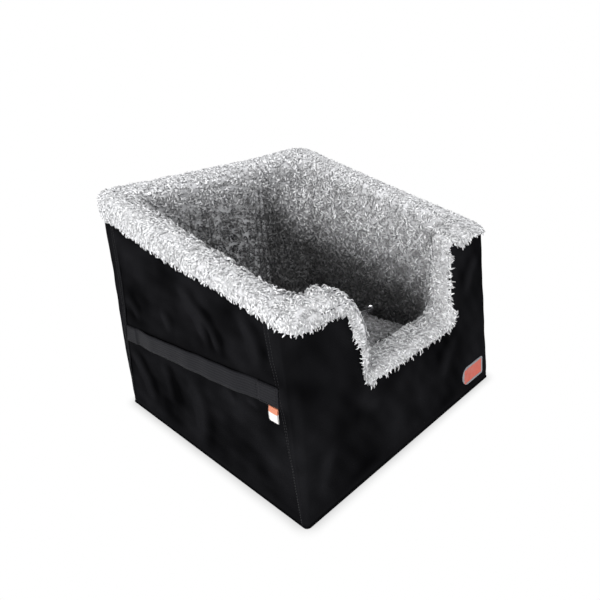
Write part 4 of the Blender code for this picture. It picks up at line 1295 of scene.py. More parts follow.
def rolled_in(grid, depth, inward):
    """A panel's upper edge turned over the wall's rounded rim, where it lies less deep than the roll."""
    share = np.clip(1 - depth / RIM_ROLL, 0, 0.98)
    return grid + np.array(inward) * (RIM_ROLL * (1 - np.sqrt(1 - share ** 2)))[..., None]


def depth_below_rim(grid):
    return rim_height(grid[..., 1]) - grid[..., 2]


def depth_in_front(grid):
    """How far places of the front panel lie from the notched edge of the wall; far for its wrapped sides."""
    curve = notch_curve(0.0)
    line = [Vector((-p.x, p.y)) for p in curve[:0:-1]] + curve
    spots = np.array([(-0.3, FRONT_RIM)] + [(p.x, p.y) for p in line] + [(0.3, FRONT_RIM)])
    flat = grid[..., (0, 2)].reshape(-1, 2)
    depth = np.full(len(flat), 1.0)
    for k in range(len(spots) - 1):
        run = spots[k + 1] - spots[k]
        share = np.clip((flat - spots[k]) @ run / max(run @ run, 1e-12), 0, 1)
        depth = np.minimum(depth, np.linalg.norm(flat - spots[k] - share[:, None] * run, axis=1))
    return np.where(grid[..., 1] < CABIN_FRONT, depth.reshape(grid.shape[:2]), 1.0)


def side_cover_grid(side):
    grid = []
    for share in np.linspace(0, 1, int(TUB_WIDTH / CLOTH_STEP)):
        grid.append(rows_to(cover_top, lambda z: side_column(side, share, z, UNDER_FLEECE), SIDE_ROWS))
    grid = flared(np.array(grid))
    return rolled_in(grid, depth_below_rim(grid), (-side, 0, 0))


def wrapped_columns(corner, facing_side, forward):
    """Places of a wrapped panel round one corner, from the side seam to the panel's own flat."""
    columns = []
    sign = -1 if corner in (0, 1) else 1
    for share in np.linspace(1, 0, WRAPPED, endpoint=False):
        def on_side(z, share=share):
            ring = outer_ring(z, 0)
            y = (ring.front + ring.radius) if sign < 0 else (ring.rear - ring.radius)
            return (facing_side * ring.half, y - sign * seam_distance(z) * share, z)
        columns.append(on_side)
    first = arc_start(corner)
    for share in np.linspace(0, 1, 8):
        def on_corner(z, share=share):
            turn = share if forward else 1 - share
            flat = outer_ring(z, 0).on_arc(corner, first + math.pi / 2 * turn)
            return (flat.x, flat.y, z)
        columns.append(on_corner)
    return columns


def post_column(side, share):
    """Places of the front panel beside the notch: share 0 at the notch's end and 1 at the corner."""
    def place(z):
        ring = outer_ring(z, 0)
        return (side * (NOTCH_END + (ring.half - ring.radius - NOTCH_END) * share), ring.front, z)
    return place


def rear_column(share):
    """Places of the rear panel: share -1 at the left corner and 1 at the right one."""
    def place(z):
        ring = outer_ring(z, 0)
        return ((ring.half - ring.radius) * share, ring.rear, z)
    return place


def front_cover_grid():
    curve = notch_curve(NOTCH_CLOTH)
    beyond = np.linspace(1, 0, POST_COLUMNS, endpoint=False)[1:]
    columns = wrapped_columns(0, -1, True) + [post_column(-1, share) for share in beyond]
    grid = [rows_to(cover_top, place, FRONT_ROWS) for place in columns]
    for side, p in [(-1, p) for p in curve[:0:-1]] + [(1, p) for p in curve]:
        depth = min(max(band_overlap(p, side) - UNDER_FLEECE, NOTCH_CLOTH), PANEL_DEPTH)
        top = p.y + front_rise(p.y + NOTCH_CLOTH, outer_ring(p.y, 0).front)
        top += NOTCH_CLOTH - depth
        heights = np.linspace(PANEL_FOOT, top, FRONT_ROWS)
        grid.append([(side * p.x, outer_ring(z, 0).front, z) for z in heights])
    columns = [post_column(1, share) for share in beyond[::-1]] + wrapped_columns(1, 1, False)[::-1]
    grid += [rows_to(cover_top, place, FRONT_ROWS) for place in columns]
    grid = flared(np.array(grid))
    depth = depth_in_front(grid) + 0.015 * bulge_share(grid)
    return bulged(rolled_in(grid, depth, (0, 1, 0)), CLOTH_BULGE)


def rear_cover_grid():
    columns = wrapped_columns(3, -1, False)
    columns += [rear_column(share) for share in np.linspace(-1, 1, REAR_COLUMNS)[1:-1]]
    columns += wrapped_columns(2, 1, True)[::-1]
    return flared(np.array([rows_to(cover_top, place, REAR_ROWS) for place in columns]))


def outward(grid):
    """Normals of an upright grid that point away from the tub's middle."""
    return grid_normals(grid, grid * np.array([1.0, 1.0, 0.0]))


def set_uv(mesh, values):
    layer = mesh.uv_layers.new(name="UVMap")
    corners = np.zeros(len(mesh.loops), np.int32)
    mesh.loops.foreach_get("vertex_index", corners)
    layer.data.foreach_set("uv", np.asarray(values, np.float32)[corners].ravel())


def belt_ends():
    """Where the level of the belt starts and ends on the side panel, front and rear."""
    front, rear = outer_ring(BELT_FRONT_HEIGHT, 0), outer_ring(BELT_REAR_HEIGHT, 0)
    return front.front + front.radius, rear.rear - rear.radius


def belt_height(y):
    start, end = belt_ends()
    return BELT_FRONT_HEIGHT + (BELT_REAR_HEIGHT - BELT_FRONT_HEIGHT) * (y - start) / (end - start)


def draped(grid, creases, across_axis):
    """A panel's grid with its creases, held flat towards its foot and under the strap."""
    normals = outward(grid)
    across, up = grid[..., across_axis], grid[..., 2]
    depth = looks().wrinkle_depth
    height = fold_height(across, up, creases)
    wave = 0.30 * ripple(grid, 0.11, 5 + across_axis) + 0.12 * ripple(grid, 0.034, 8 + across_axis)
    height = (height + wave) * depth
    hem = smooth_share((up - 0.002) / 0.022)
    height = height * (0.15 + 0.85 * hem)
    if across_axis == 1:
        near_strap = np.exp(-((up - belt_height(across)) / 0.024) ** 4)
        height = height * (1 - 0.96 * near_strap)
    height = height + 0.0005 * smooth_share(1 - np.abs(up - 0.008) / 0.0022) * (up < 0.011)
    return grid + normals * np.clip(height, -0.0016, 0.0046)[..., None]


def cover_piece(name, grid, flat):
    """One panel as a closed sheet; its folds' heights are kept for the painted shade and highlight of its
    creases.
    """
    normals = outward(flat)
    mesh = mesh_of(name + "_panel", *closed_sheet(grid, grid - normals * CLOTH, normals))
    fold = ((grid - flat) * normals).sum(axis=2).ravel() / looks().wrinkle_depth
    point_values(mesh, "fold", np.concatenate([fold, fold]))
    new_piece(name + "_panel", mesh, cloth_material(), "tub", name + "_cover")


def stitch_row(line, normals):
    """Short threads along a line of points on cloth, each a flat five-sided bead."""
    length, gap = looks().stitch_length, looks().stitch_gap
    steps = distances(line)
    starts = np.arange(gap, steps[-1] - length, length + gap)
    if not len(starts):
        return np.zeros((0, 3)), []
    up = unit(read_at(starts, steps, normals))
    first, last = read_at(starts, steps, line), read_at(starts + length, steps, line)
    side = np.cross(up, unit(last - first))
    rings = []
    for along_share, fat in STITCH_PROFILE:
        centre = first + (last - first) * along_share
        for k in range(STITCH_SIDES):
            angle = 2 * math.pi * k / STITCH_SIDES
            rings.append(centre + side * (STITCH * fat * math.cos(angle))
                         + up * (STITCH * (0.35 + 0.55 * fat * math.sin(angle))))
    points = np.stack(rings, axis=1).reshape(-1, 3)
    return points, tube_faces(len(starts), len(STITCH_PROFILE), STITCH_SIDES)


def stitched(name, rows, body="tub"):
    """One piece of several rows of stitches; each row is a line and its normals."""
    points, faces, count = [], [], 0
    for line, normals in rows:
        more, more_faces = stitch_row(line, normals)
        points.append(more)
        faces += [f + count for f in more_faces]
        count += len(more)
    new_piece(name, mesh_of(name, np.concatenate(points), faces), thread_material(), body)


class SEAT_OT_covers(bpy.types.Operator):
    """Stretch the four woven panels over the walls, with creases, hems and topstitch"""
    bl_idname = "seat.covers"
    bl_label = "Cloth Panels"

    def execute(self, context):
        for side, name, creases in ((-1, "left", LEFT_CREASES), (1, "right", RIGHT_CREASES)):
            flat = side_cover_grid(side)
            cover_piece(name, draped(flat, creases, 1), flat)
        rows = []
        for name, flat, creases in (("front", front_cover_grid(), FRONT_CREASES),
                                    ("rear", rear_cover_grid(), REAR_CREASES)):
            grid = draped(flat, creases, 0)
            normals = outward(flat)
            wrap, pocket = np.zeros((2, grid.shape[0]))
            wrap[:WRAPPED] = wrap[-WRAPPED:] = 1
            pocket[:WRAPPED] = np.linspace(1, 0, WRAPPED)
            pocket[-WRAPPED:] = np.linspace(0, 1, WRAPPED)
            over = np.exp(-((grid[..., 2] - belt_height(grid[..., 1])) / 0.0155) ** 6) * pocket[:, None]
            grid = grid + normals * (WRAP_STEP * wrap[:, None] + BELT_POCKET * over)[..., None]
            cover_piece(name, grid, flat)
            rows += [(grid[k, ::-1], normals[k, ::-1]) for k in STITCHED_COLUMNS]
        stitched("seam_stitches", rows)
        return {"FINISHED"}


# Straps


def strap_piece(name, centres, widths, normals, body, node, thickness=WEBBING, width=WEBBING_WIDTH):
    """A flat strap with rounded edges and its own UV map in metres."""
    across = np.linspace(-1, 1, 9)
    middle = centres[:, None] + widths[:, None] * (across[None, :, None] * width / 2)
    edge = np.sqrt(np.clip(1 - np.abs(across) ** 10, 0, 1))
    lift = normals[:, None] * (edge[None, :, None] * thickness / 2)
    loop = np.concatenate([middle + lift, (middle - lift)[:, -2:0:-1]], axis=1)
    size = loop.shape[1]
    points = loop.reshape(-1, 3)
    faces = capped_faces(len(centres), size)
    mesh = mesh_of(name, points, turned_to(points, faces, faces[0][size // 4], normals[0]))
    places = np.concatenate([across, across[-2:0:-1]]) * width / 2
    uv = np.stack(np.broadcast_arrays(distances(centres)[:, None], places[None, :]), axis=-1)
    set_uv(mesh, uv.reshape(-1, 2))
    return new_piece(name, mesh, webbing_material(), body, node)


def repeated(direction, count):
    return np.repeat(np.array([direction], float), count, axis=0)


def belt_lines(side):
    start, end = belt_ends()
    start += float(seam_distance(BELT_FRONT_HEIGHT)) - BELT_TUCK
    end -= float(seam_distance(BELT_REAR_HEIGHT)) - BELT_TUCK
    ys = np.linspace(start, end, BELT_STEPS)
    none = 0 * ys
    lean = SIDE_LEAN / LEAN_HEIGHT
    inside = np.minimum(ys - start, end - ys) - BELT_SEWN
    loose = smooth_share(inside / 0.03)
    slack = GAP + BELT_GAP + BELT_SLACK * smooth_share(inside / BELT_RISE)
    z = belt_height(ys)
    wave = 0.0008 * ripple(np.stack([ys, none, none], axis=1), 0.05, 12) * loose
    half = np.array([outer_ring(float(h), 0).half for h in z])
    out = half + slack + wave + WEBBING / 2 - BELT_GAP * (inside > 0)
    centres = flared(np.stack([side * out, ys, z], axis=1))
    twist = lean + 0.05 * ripple(np.stack([none, ys, none], axis=1), 0.09, 4) * loose
    widths = unit(np.stack([-side * twist, none, 1 + none], axis=1))
    normals = unit(np.stack([side + none, none, twist], axis=1))
    return centres, widths, normals


def box_rows(centres, widths, normals, first, last):
    """A stitched box over part of a strap."""
    reach = BELT_WIDTH / 2 - 0.0028
    lift = normals * (WEBBING / 2)
    lines = []
    for offset in (-reach, reach):
        line = (centres + widths * offset + lift)[first:last]
        lines.append((line, normals[first:last]))
    for k in (first, last - 1):
        spots = centres[k] + lift[k] + widths[k] * np.linspace(-reach, reach, 12)[:, None]
        lines.append((spots, np.repeat(normals[k][None], 12, axis=0)))
    return lines


class SEAT_OT_belt_straps(bpy.types.Operator):
    """Sew a webbing strap across each side panel"""
    bl_idname = "seat.belt_straps"
    bl_label = "Belt Straps"

    def execute(self, context):
        rows = []
        for side, name in ((-1, "left_belt"), (1, "right_belt")):
            lines = belt_lines(side)
            strap_piece(name, *lines, "tub", name + "_strap", WEBBING, BELT_WIDTH)
            rows += box_rows(*lines, *BELT_BOX) + box_rows(*lines, *(BELT_STEPS - k for k in BELT_BOX[::-1]))
        stitched("belt_stitches", rows)
        return {"FINISHED"}


# Leash

PATH_STEPS = 2
LEASH_STEPS = 8
LEASH_ROUTE = (
    (-0.1869, 0.0216, 0.0840), (-0.1869, 0.0216, 0.0960), (-0.1864, 0.0216, 0.1050),
    (-0.1835, 0.0217, 0.1135), (-0.1770, 0.0219, 0.1195), (-0.1670, 0.0224, 0.1220),
    (-0.1540, 0.0233, 0.1222), (-0.1280, 0.0250, 0.1212), (-0.0980, 0.0246, 0.1210),
    (-0.0680, 0.0196, 0.1214),
)


def smooth_route(points, steps):
    spots = [Vector(p) for p in points]
    ends = [2 * spots[0] - spots[1]] + spots + [2 * spots[-1] - spots[-2]]
    result = []
    for k in range(len(spots) - 1):
        a, b, c, d = ends[k:k + 4]
        for step in range(steps):
            t = step / steps
            result.append(0.5 * (
                2 * b + (c - a) * t + (2 * a - 5 * b + 4 * c - d) * t * t
                + (3 * b - a - 3 * c + d) * t * t * t))
    result.append(spots[-1])
    return result


def leash_centres(steps):
    tail = [LEASH_FRAME @ Vector((-STRAIGHT_LENGTH * k / 3, 0, STRAP_DROP)) for k in (3, 2, 1, 0)]
    ahead = LEASH_FRAME.to_3x3() @ Vector((1, 0, 0))
    tail[-1] = tail[-1] - ahead * GAP / 2
    return smooth_route(list(LEASH_ROUTE) + tail, steps)


def leash_lines(centres):
    points = np.array(centres)
    along = unit(np.gradient(points, axis=0))
    flat = along * np.array([1.0, 1.0, 0.0])
    length = np.linalg.norm(flat, axis=1, keepdims=True)
    heading = np.where(length > 0.15, flat / np.maximum(length, 1e-6), np.array([[1.0, 0.0, 0.0]]))
    widths = np.stack([-heading[:, 1], heading[:, 0], 0 * heading[:, 0]], axis=1)
    for _ in range(6):
        widths[1:-1] = unit(widths[:-2] + 2 * widths[1:-1] + widths[2:])
    normals = unit(np.cross(along, widths))
    return points, widths, normals


def return_lines():
    """The webbing's end: round the eye's bar and back on top."""
    level = STRAP_DROP + LAYER_STEP
    wrap = abs(STRAP_DROP)
    spots = [(-RETURN_LENGTH + k * (RETURN_LENGTH - RETURN_RAMP) / 10, 0, level) for k in range(10)]
    spots.append((-RETURN_RAMP, 0, level))
    first = math.pi / 2 + math.atan2(wrap - level, RETURN_RAMP)
    for k in range(17):
        angle = first - (first + math.pi / 2) * k / 16
        spots.append((math.cos(angle) * wrap, 0, math.sin(angle) * wrap))
    points = np.array(spots)
    points[-1, 0] += GAP / 2
    widths = repeated((0, 1, 0), len(points))
    normals = unit(np.cross(unit(np.gradient(points, axis=0)), widths))
    turn = np.array(LEASH_FRAME.to_3x3())
    return np.array([LEASH_FRAME @ Vector(p) for p in points]), widths @ turn.T, normals @ turn.T


class SEAT_OT_leash(bpy.types.Operator):
    """Lay the leash from its anchor over the cushion to the snap's eye"""
    bl_idname = "seat.leash"
    bl_label = "Leash"

    def execute(self, context):
        path = leash_centres(PATH_STEPS)
        centres, widths, normals = leash_lines(leash_centres(LEASH_STEPS))
        leash = strap_piece("leash_strap", centres, widths, normals, None, "leash_webbing")
        length = float(np.linalg.norm(np.diff(centres, axis=0), axis=1).sum())
        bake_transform(leash)
        lines = return_lines()
        strap_piece("leash_end", *lines, "cushion", "leash_return")
        stitched("leash_stitches", box_rows(*lines, *RETURN_BOX), body="cushion")
        self.anchor()
        return {"FINISHED"}

    def anchor(self):
        """The sewn tab that holds the leash's end against the left wall."""
        low, high = (np.array(c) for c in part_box("anchor_tab"))
        z = np.linspace(low[2], high[2], 24)
        middle = (low + high) / 2
        centres = np.stack([0 * z + middle[0], 0 * z + middle[1], z], axis=1)
        strap_piece("leash_anchor", centres, repeated((0, 1, 0), 24), repeated((1, 0, 0), 24), "tub",
                    "anchor_tab", ANCHOR_WEBBING, high[1] - low[1])


# Metal


class SEAT_OT_metal(bpy.types.Operator):
    """Give the snap, its spring and the slider their plated finish"""
    bl_idname = "seat.metal"
    bl_label = "Snap and Slider"

    def execute(self, context):
        for name in ("snap_eye", "snap_body", "snap_bolt", "leash_slider"):
            finish(name, chrome_material())
        wire = grained("spring_wire", (0.55, 0.55, 0.56), 900.0, 0.05, rough=(0.25, 0.4), Metallic=1.0)
        finish("snap_spring", wire)
        return {"FINISHED"}


def finish(node, material):
    """A better material for a CAD node that stays."""
    piece = bpy.data.objects[node]
    for slot in piece.material_slots:
        slot.material = material
    if not piece.material_slots:
        raise RuntimeError(node + " has no material slot")


# Cushion

CUSHION_PLAY = 0.004
CUSHION_ROUND = 0.026
CUSHION_PULL = 0.006
CUSHION_SEAM = 0.0755
CUSHION_SIDE = 0.030
CUSHION_CROWN = 0.006
CUSHION_SHOULDER = 0.075
CUSHION_INSET = 0.004
CUSHION_FILLING = 0.014
CUSHION_FILLING_UP = 0.003
CUSHION_VOXEL = 0.006
CUSHION_SWELL = 0.005
CUSHION_FRAMES = 20
CUSHION_CORNER_STEPS = 6
CUSHION_EDGE_STEPS = 16
CUSHION_SPACING = 0.0052
CUSHION_SIDE_CURLS = 0.72
CUSHION_TIPS = 0.1205
UNDERSIDE_PROFILE = (
    (0.030, 0.0738), (0.0045, 0.0738), (0.0030, 0.0742), (0.0030, 0.0748), (0.0045, 0.0751), (0.030, 0.0751),
)
CUSHION_PROFILE_SHARES = (
    (0.04, 0.0, 0.0), (0.0, 0.35, 0.0), (0.02, 0.66, 0.0), (0.12, 0.90, 0.0),
    (0.32, 1.0, 0.15), (0.62, 1.0, 0.55), (1.0, 1.0, 0.86), (1.6, 1.0, 1.0),
)


def cushion_loop(inset, z, pull):
    ring = inner_ring(-CUSHION_PLAY - inset)
    ring.radius = max(CUSHION_ROUND - inset, LEAST_CORNER)
    points = []
    for corner in range(4):
        start = arc_start(corner)
        for k in range(CUSHION_CORNER_STEPS + 1):
            flat = ring.on_arc(corner, start + math.pi / 2 * k / CUSHION_CORNER_STEPS)
            points.append((flat.x, flat.y, z))
        here = Vector(points[-1])
        there = ring.on_arc((corner + 1) % 4, arc_start(corner + 1))
        turn = corner * math.pi / 2
        inward = Vector((-math.sin(turn), math.cos(turn), 0))
        for k in range(1, CUSHION_EDGE_STEPS):
            share = k / CUSHION_EDGE_STEPS
            spot = here.lerp(Vector((there.x, there.y, z)), share) + inward * pull * 4 * share * (1 - share)
            points.append(tuple(spot))
    return points


def cushion_shell(inset):
    loops = []
    for across, up, crown in CUSHION_PROFILE_SHARES:
        z = CUSHION_SEAM + (CUSHION_SIDE - inset) * up + CUSHION_CROWN * crown
        loops.append(cushion_loop(inset + across * CUSHION_SHOULDER, z, CUSHION_PULL * max(1 - across, 0)))
    return np.array(loops)


def cushion_filling(foam):
    """The foam in the cushion, clear of the fleece round it."""
    loops = cushion_shell(CUSHION_FILLING) + np.array([0, 0, CUSHION_FILLING_UP])
    new_piece("cushion_filling", capped("cushion_filling", loops), foam, "cushion", "cushion_core")


def swell(piece):
    """Remesh a closed form and let cloth with air inside it fill out, with a limit to each point's way."""
    remesh = piece.modifiers.new("even", "REMESH")
    remesh.mode = "VOXEL"
    remesh.voxel_size = CUSHION_VOXEL
    apply_modifiers(piece)
    before = mesh_points(piece.data)
    cloth = piece.modifiers.new("filling", "CLOTH")
    cloth.settings.use_pressure = True
    cloth.settings.uniform_pressure_force = 4.0
    cloth.settings.quality = 5
    cloth.settings.effector_weights.gravity = 0.0
    cloth.point_cache.frame_start = 1
    cloth.point_cache.frame_end = CUSHION_FRAMES
    for number in range(1, CUSHION_FRAMES + 1):
        bpy.context.scene.frame_set(number)
    apply_modifiers(piece)
    bpy.context.scene.frame_set(1)
    move = mesh_points(piece.data) - before
    length = np.linalg.norm(move, axis=1, keepdims=True)
    put_points(piece.data, before + move * np.minimum(1.0, CUSHION_SWELL / np.maximum(length, 1e-9)))


def edge_shade(points, middle):
    """Painted shade of the cushion's fleece, darkest towards its edges."""
    edge = np.abs(points[:, :2]).max(axis=1) / CABIN_HALF
    return middle + 0.30 * smooth_share((edge - 0.6) / 0.4)


def cushion_fleece():
    piece = bpy.data.objects.new("cushion_fleece", capped("cushion_fleece", cushion_shell(CUSHION_INSET)))
    bpy.context.scene.collection.objects.link(piece)
    swell(piece)
    mesh = piece.data
    low, high = (np.array(c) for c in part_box("cushion_cover"))
    points = np.clip(mesh_points(mesh), low, high - np.array([0, 0, 0.001]))
    put_points(mesh, points)
    shapes = [tuple(p.vertices) for p in mesh.polygons]
    tree = BVHTree.FromPolygons([tuple(p) for p in points], shapes)
    by_count = [[s for s in shapes if len(s) == n] for n in (3, 4)]
    skin = np.array([tuple(v.normal) for v in mesh.vertices])
    pile = Pile(40)
    pile.add(points, [np.array(some) for some in by_count if some], BACKING_CURL, BACKING_TONE,
             edge_shade(points, 0.70), skin)
    sides = [(f.center.copy(), f.normal.copy()) for f in mesh.polygons
             if f.normal.z <= 0.5 and f.center.z > CUSHION_SEAM + 0.003]
    cushion_curls(pile, tree, low, high, sides)
    bpy.data.objects.remove(piece)
    made = pile.piece("cushion_fleece", "cushion", "cushion_cover")


def cushion_curls(pile, tree, low, high, sides):
    """Curls on the cushion's upper face, found from above, and on the given places of its sides."""
    rng = pile.rng
    xs, ys = (np.arange(low[k] + 0.006, high[k] - 0.005, CUSHION_SPACING) for k in (0, 1))
    gx, gy = np.meshgrid(xs, ys, indexing="ij")
    gx = (gx + rng.uniform(-SHAKE, SHAKE, gx.shape) * CUSHION_SPACING).ravel()
    gy = (gy + rng.uniform(-SHAKE, SHAKE, gy.shape) * CUSHION_SPACING).ravel()
    places = []
    for x, y in zip(gx, gy):
        spot, normal, _, _ = tree.ray_cast(Vector((x, y, 0.3)), Vector((0, 0, -1)))
        if spot is not None and normal.z > 0.5:
            places.append((spot, normal))
    reach = np.concatenate([np.ones(len(places)), np.full(len(sides), CUSHION_SIDE_CURLS)])
    bases = np.array([spot for spot, _ in places + sides])
    normals = np.array([normal for _, normal in places + sides])
    count = len(bases)
    angle = rng.uniform(0, 2 * math.pi, count)
    flow = np.stack([np.cos(angle), np.sin(angle), rng.uniform(-0.8, 0.8, count)], axis=1)
    flow = unit(flow - normals * (flow * normals).sum(axis=1, keepdims=True))
    lengths = reach * rng.uniform(0.0085, 0.0125, count)
    widths = CUSHION_SPACING * rng.uniform(0.27, 0.38, count)
    points, faces, curl = curl_shapes(
        rng, bases - normals * 0.001, normals, flow, lengths, widths,
        np.radians(rng.uniform(40, 60, count)), np.radians(rng.uniform(-34, -6, count)))
    points[:, 2] = np.clip(points[:, 2], CUSHION_SEAM, CUSHION_TIPS)
    tone_and_shade = np.repeat(rng.uniform(0, 1, count), CURL_POINTS)
    pile.add(points, faces, curl, tone_and_shade, edge_shade(points, 0.66), normals)


class SEAT_OT_cushion(bpy.types.Operator):
    """Fill the fleece cushion and lay its cloth base under it"""
    bl_idname = "seat.cushion"
    bl_label = "Cushion"

    def execute(self, context):
        cushion_fleece()
        loops = np.array([cushion_loop(inset, z, CUSHION_PULL) for inset, z in UNDERSIDE_PROFILE])
        mesh = capped("cushion_underside", loops)
        new_piece("cushion_underside", mesh, cloth_material(), "cushion", "cushion_base")
        return {"FINISHED"}


# Patch and tag

PATCH_WIDTH = 0.071
PATCH_HEIGHT = 0.037
PATCH = 0.002
PATCH_ROUND = 0.005
PATCH_FROM_SIDE = 0.023
PATCH_Z = 0.039
PATCH_BORDER = 0.0036
PATCH_INSETS = ((0.0012, 0.0004), (0.0022, 0.0), (0.0006, -0.0009))
TAG_WIDTH = 0.019
TAG_DROP = 0.023
TAG_RIBBON = 0.0007
TAG_FROM_FRONT = 0.030


def plate_form():
    """A rounded plate with a raised border, lying flat and centred."""
    bpy.ops.object.select_all(action="DESELECT")
    bpy.ops.mesh.primitive_cube_add(size=1)
    piece = bpy.context.object
    piece.scale = (PATCH_WIDTH, PATCH_HEIGHT, PATCH)
    bpy.ops.object.transform_apply(location=False, rotation=False, scale=True)
    bpy.ops.object.mode_set(mode="EDIT")
    for side, radius in ((-1, PATCH_HEIGHT / 2 - PATCH / 4), (1, PATCH_ROUND)):
        bpy.ops.mesh.select_mode(type="EDGE")
        form = bmesh.from_edit_mesh(piece.data)
        for edge in form.edges:
            first, last = (vert.co for vert in edge.verts)
            edge.select_set(abs(first.z - last.z) > PATCH / 2 and first.x * side > PATCH_WIDTH * 0.49)
        bpy.ops.mesh.bevel(offset=radius, segments=10, affect="EDGES")
    bpy.ops.mesh.select_mode(type="FACE")
    form = bmesh.from_edit_mesh(piece.data)
    for face in form.faces:
        face.select_set(face.normal.z > 0.9)
    form.select_flush_mode()
    for thickness, depth in PATCH_INSETS:
        bpy.ops.mesh.inset(thickness=thickness, depth=depth)
    bpy.ops.object.mode_set(mode="OBJECT")
    return piece


class SEAT_OT_trim(bpy.types.Operator):
    """Sew the plain rubber patch on the front and the plain ribbon tag under the left strap"""
    bl_idname = "seat.trim"
    bl_label = "Patch and Tag"

    def execute(self, context):
        self.patch()
        self.tag()
        return {"FINISHED"}

    def patch(self):
        piece = plate_form()
        piece.name = "front_badge"
        edge = piece.modifiers.new("edge", "BEVEL")
        edge.width = 0.0003
        edge.segments = 2
        edge.limit_method = "ANGLE"
        edge.angle_limit = math.radians(40)
        apply_modifiers(piece)
        piece.data.materials.clear()
        piece.data.materials.append(grained("patch_border", (0.17, 0.17, 0.18), 900.0, 0.15))
        piece.data.materials.append(grained("patch_field", (0.42, 0.060, 0.030), 900.0, 0.15))
        for face in piece.data.polygons:
            x, y, z = face.center
            inner = abs(x) < PATCH_WIDTH / 2 - PATCH_BORDER and abs(y) < PATCH_HEIGHT / 2 - PATCH_BORDER
            face.material_index = int(inner and z > 0 and face.normal.z > 0.9)
        lean = math.atan2(FRONT_LEAN, LEAN_HEIGHT)
        stand = (GAP + PATCH / 2) / math.cos(lean)
        across = TUB_WIDTH / 2 - PATCH_FROM_SIDE - PATCH_WIDTH / 2
        place = Matrix.Translation((across, outer_ring(PATCH_Z, 0).front - stand, PATCH_Z))
        piece.data.transform(place @ Matrix.Rotation(math.pi / 2 - lean, 4, "X"))
        piece.data.update()
        only(piece)
        bpy.ops.object.shade_smooth_by_angle(angle=math.radians(35))
        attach(piece, "tub")
        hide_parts("front_patch")

    def tag(self):
        ring = outer_ring(BELT_FRONT_HEIGHT, 0)
        y = ring.front + ring.radius + TAG_FROM_FRONT
        top = float(belt_height(y)) - BELT_WIDTH / 2 - GAP - 0.0012
        foot = top - TAG_DROP + 0.0004
        lean = SIDE_LEAN / LEAN_HEIGHT
        fold = TAG_RIBBON / 2 + GAP / 2
        middle = -(outer_ring(foot, 0).half + GAP + TAG_RIBBON + GAP / 2)
        run = np.linspace(0, 1, 16)
        inner = np.stack([middle + fold + (top - foot) * lean * (1 - run), top - (top - foot) * run], axis=1)
        turn = -np.pi * np.linspace(0, 1, 9)[1:-1]
        bend = np.stack([middle + fold * np.cos(turn), foot + fold * np.sin(turn)], axis=1)
        outer = inner[::-1] - np.array([2 * fold, 0])
        outer[:, 0] -= 0.0010 * np.sin(np.pi * run)
        line = np.concatenate([inner, bend, outer])
        centres = np.stack([line[:, 0], 0 * line[:, 0] + y, line[:, 1]], axis=1)
        widths = repeated((0, 1, 0), len(centres))
        normals = unit(np.cross(unit(np.gradient(centres, axis=0)), widths))
        tag = strap_piece("side_ribbon", centres, widths, normals, "tub", "side_tag", TAG_RIBBON, TAG_WIDTH)
        tag.data.materials.clear()
        for name, colour in (("tag_ribbon_weave", (0.50, 0.17, 0.09)),
                             ("tag_ribbon_pale", (0.62, 0.60, 0.58))):
            tag.data.materials.append(grained(name, colour, 1500.0, 0.3, spread=0.35))
        for face in tag.data.polygons:
            face.material_index = int(face.center.z < top - 0.42 * TAG_DROP)


# Inside the walls

FLOOR_TUCK = 0.008
FLOOR_CLOTH = 0.0022


class SEAT_OT_inside(bpy.types.Operator):
    """Give boards, foam and the floor their finishes"""
    bl_idname = "seat.inside"
    bl_label = "Boards and Foam"

    def execute(self, context):
        board = grained("grey_board", (0.20, 0.18, 0.15), 500.0, 0.2, 0.0002, 0.5)
        foam = grained("open_foam", (0.55, 0.54, 0.50), 1400.0, 0.6, 0.0005, 0.6, (0.85, 0.95))
        for wall in WALL_NAMES:
            finish(wall + "_board", board)
            finish(wall + "_foam", foam)
        finish("base_board", board)
        finish("booster_foam", foam)
        cushion_filling(foam)
        finish("base_cover", cloth_material())
        self.floor()
        return {"FINISHED"}

    def floor(self):
        """The short-pile cloth under the cushion."""
        low, high = (np.array(c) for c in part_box("floor_liner"))
        low[:2] -= FLOOR_TUCK
        high[:2] += FLOOR_TUCK
        xs, ys = (np.linspace(low[k], high[k], FLOOR_STEPS) for k in (0, 1))
        gx, gy = np.meshgrid(xs, ys, indexing="ij")
        grid = np.stack([gx, gy, 0 * gx + high[2]], axis=-1)
        grid[..., 2] -= 0.0004 * (1 + ripple(grid, 0.012, 9))
        up = np.zeros_like(grid)
        up[..., 2] = 1
        corner = np.maximum(np.abs(gx) - (high[0] - CABIN_CORNER), 0)
        middle = (low[1] + high[1]) / 2
        deep = np.maximum(np.abs(gy - middle) - ((high[1] - low[1]) / 2 - CABIN_CORNER), 0)
        far = np.hypot(corner, deep)
        pull = np.where(far > CABIN_CORNER, CABIN_CORNER / np.maximum(far, 1e-9), 1.0)
        grid[..., 0] -= np.sign(gx) * corner * (1 - pull)
        grid[..., 1] -= np.sign(gy - middle) * deep * (1 - pull)
        mesh = mesh_of("floor_fleece", *closed_sheet(grid, grid - up * FLOOR_CLOTH, up))
        # Painted shade: the floor liner deep in the tub is drawn dark.
        for name, value in (("curl", 0.35), ("tone_and_shade", 0.5), ("low", 0.9)):
            point_values(mesh, name, np.full(len(mesh.vertices), value))
        new_piece("floor_fleece", mesh, fleece_material(), "tub", "floor_liner")


# Stage

CAMERA_PLACE = (-0.6300, -0.6764, 0.6090)
CAMERA_TARGET = (0.1439, 0.0902, 0.1564)
CAMERA_ROLL = -0.054
CAMERA_LENS = 32.73
CAMERA_SHIFT = (-0.0407, -0.0293)
LAMPS = (
    ("key", (-3.9, -1.2, 1.70), (0, 0, 0.25), 2.0, 205),
    ("top", (0.0, -0.3, 2.0), (0, 0, 0.2), 1.3, 22),
    ("fill", (-0.4, -2.2, 1.3), (0, 0, 0.2), 1.0, 21),
)


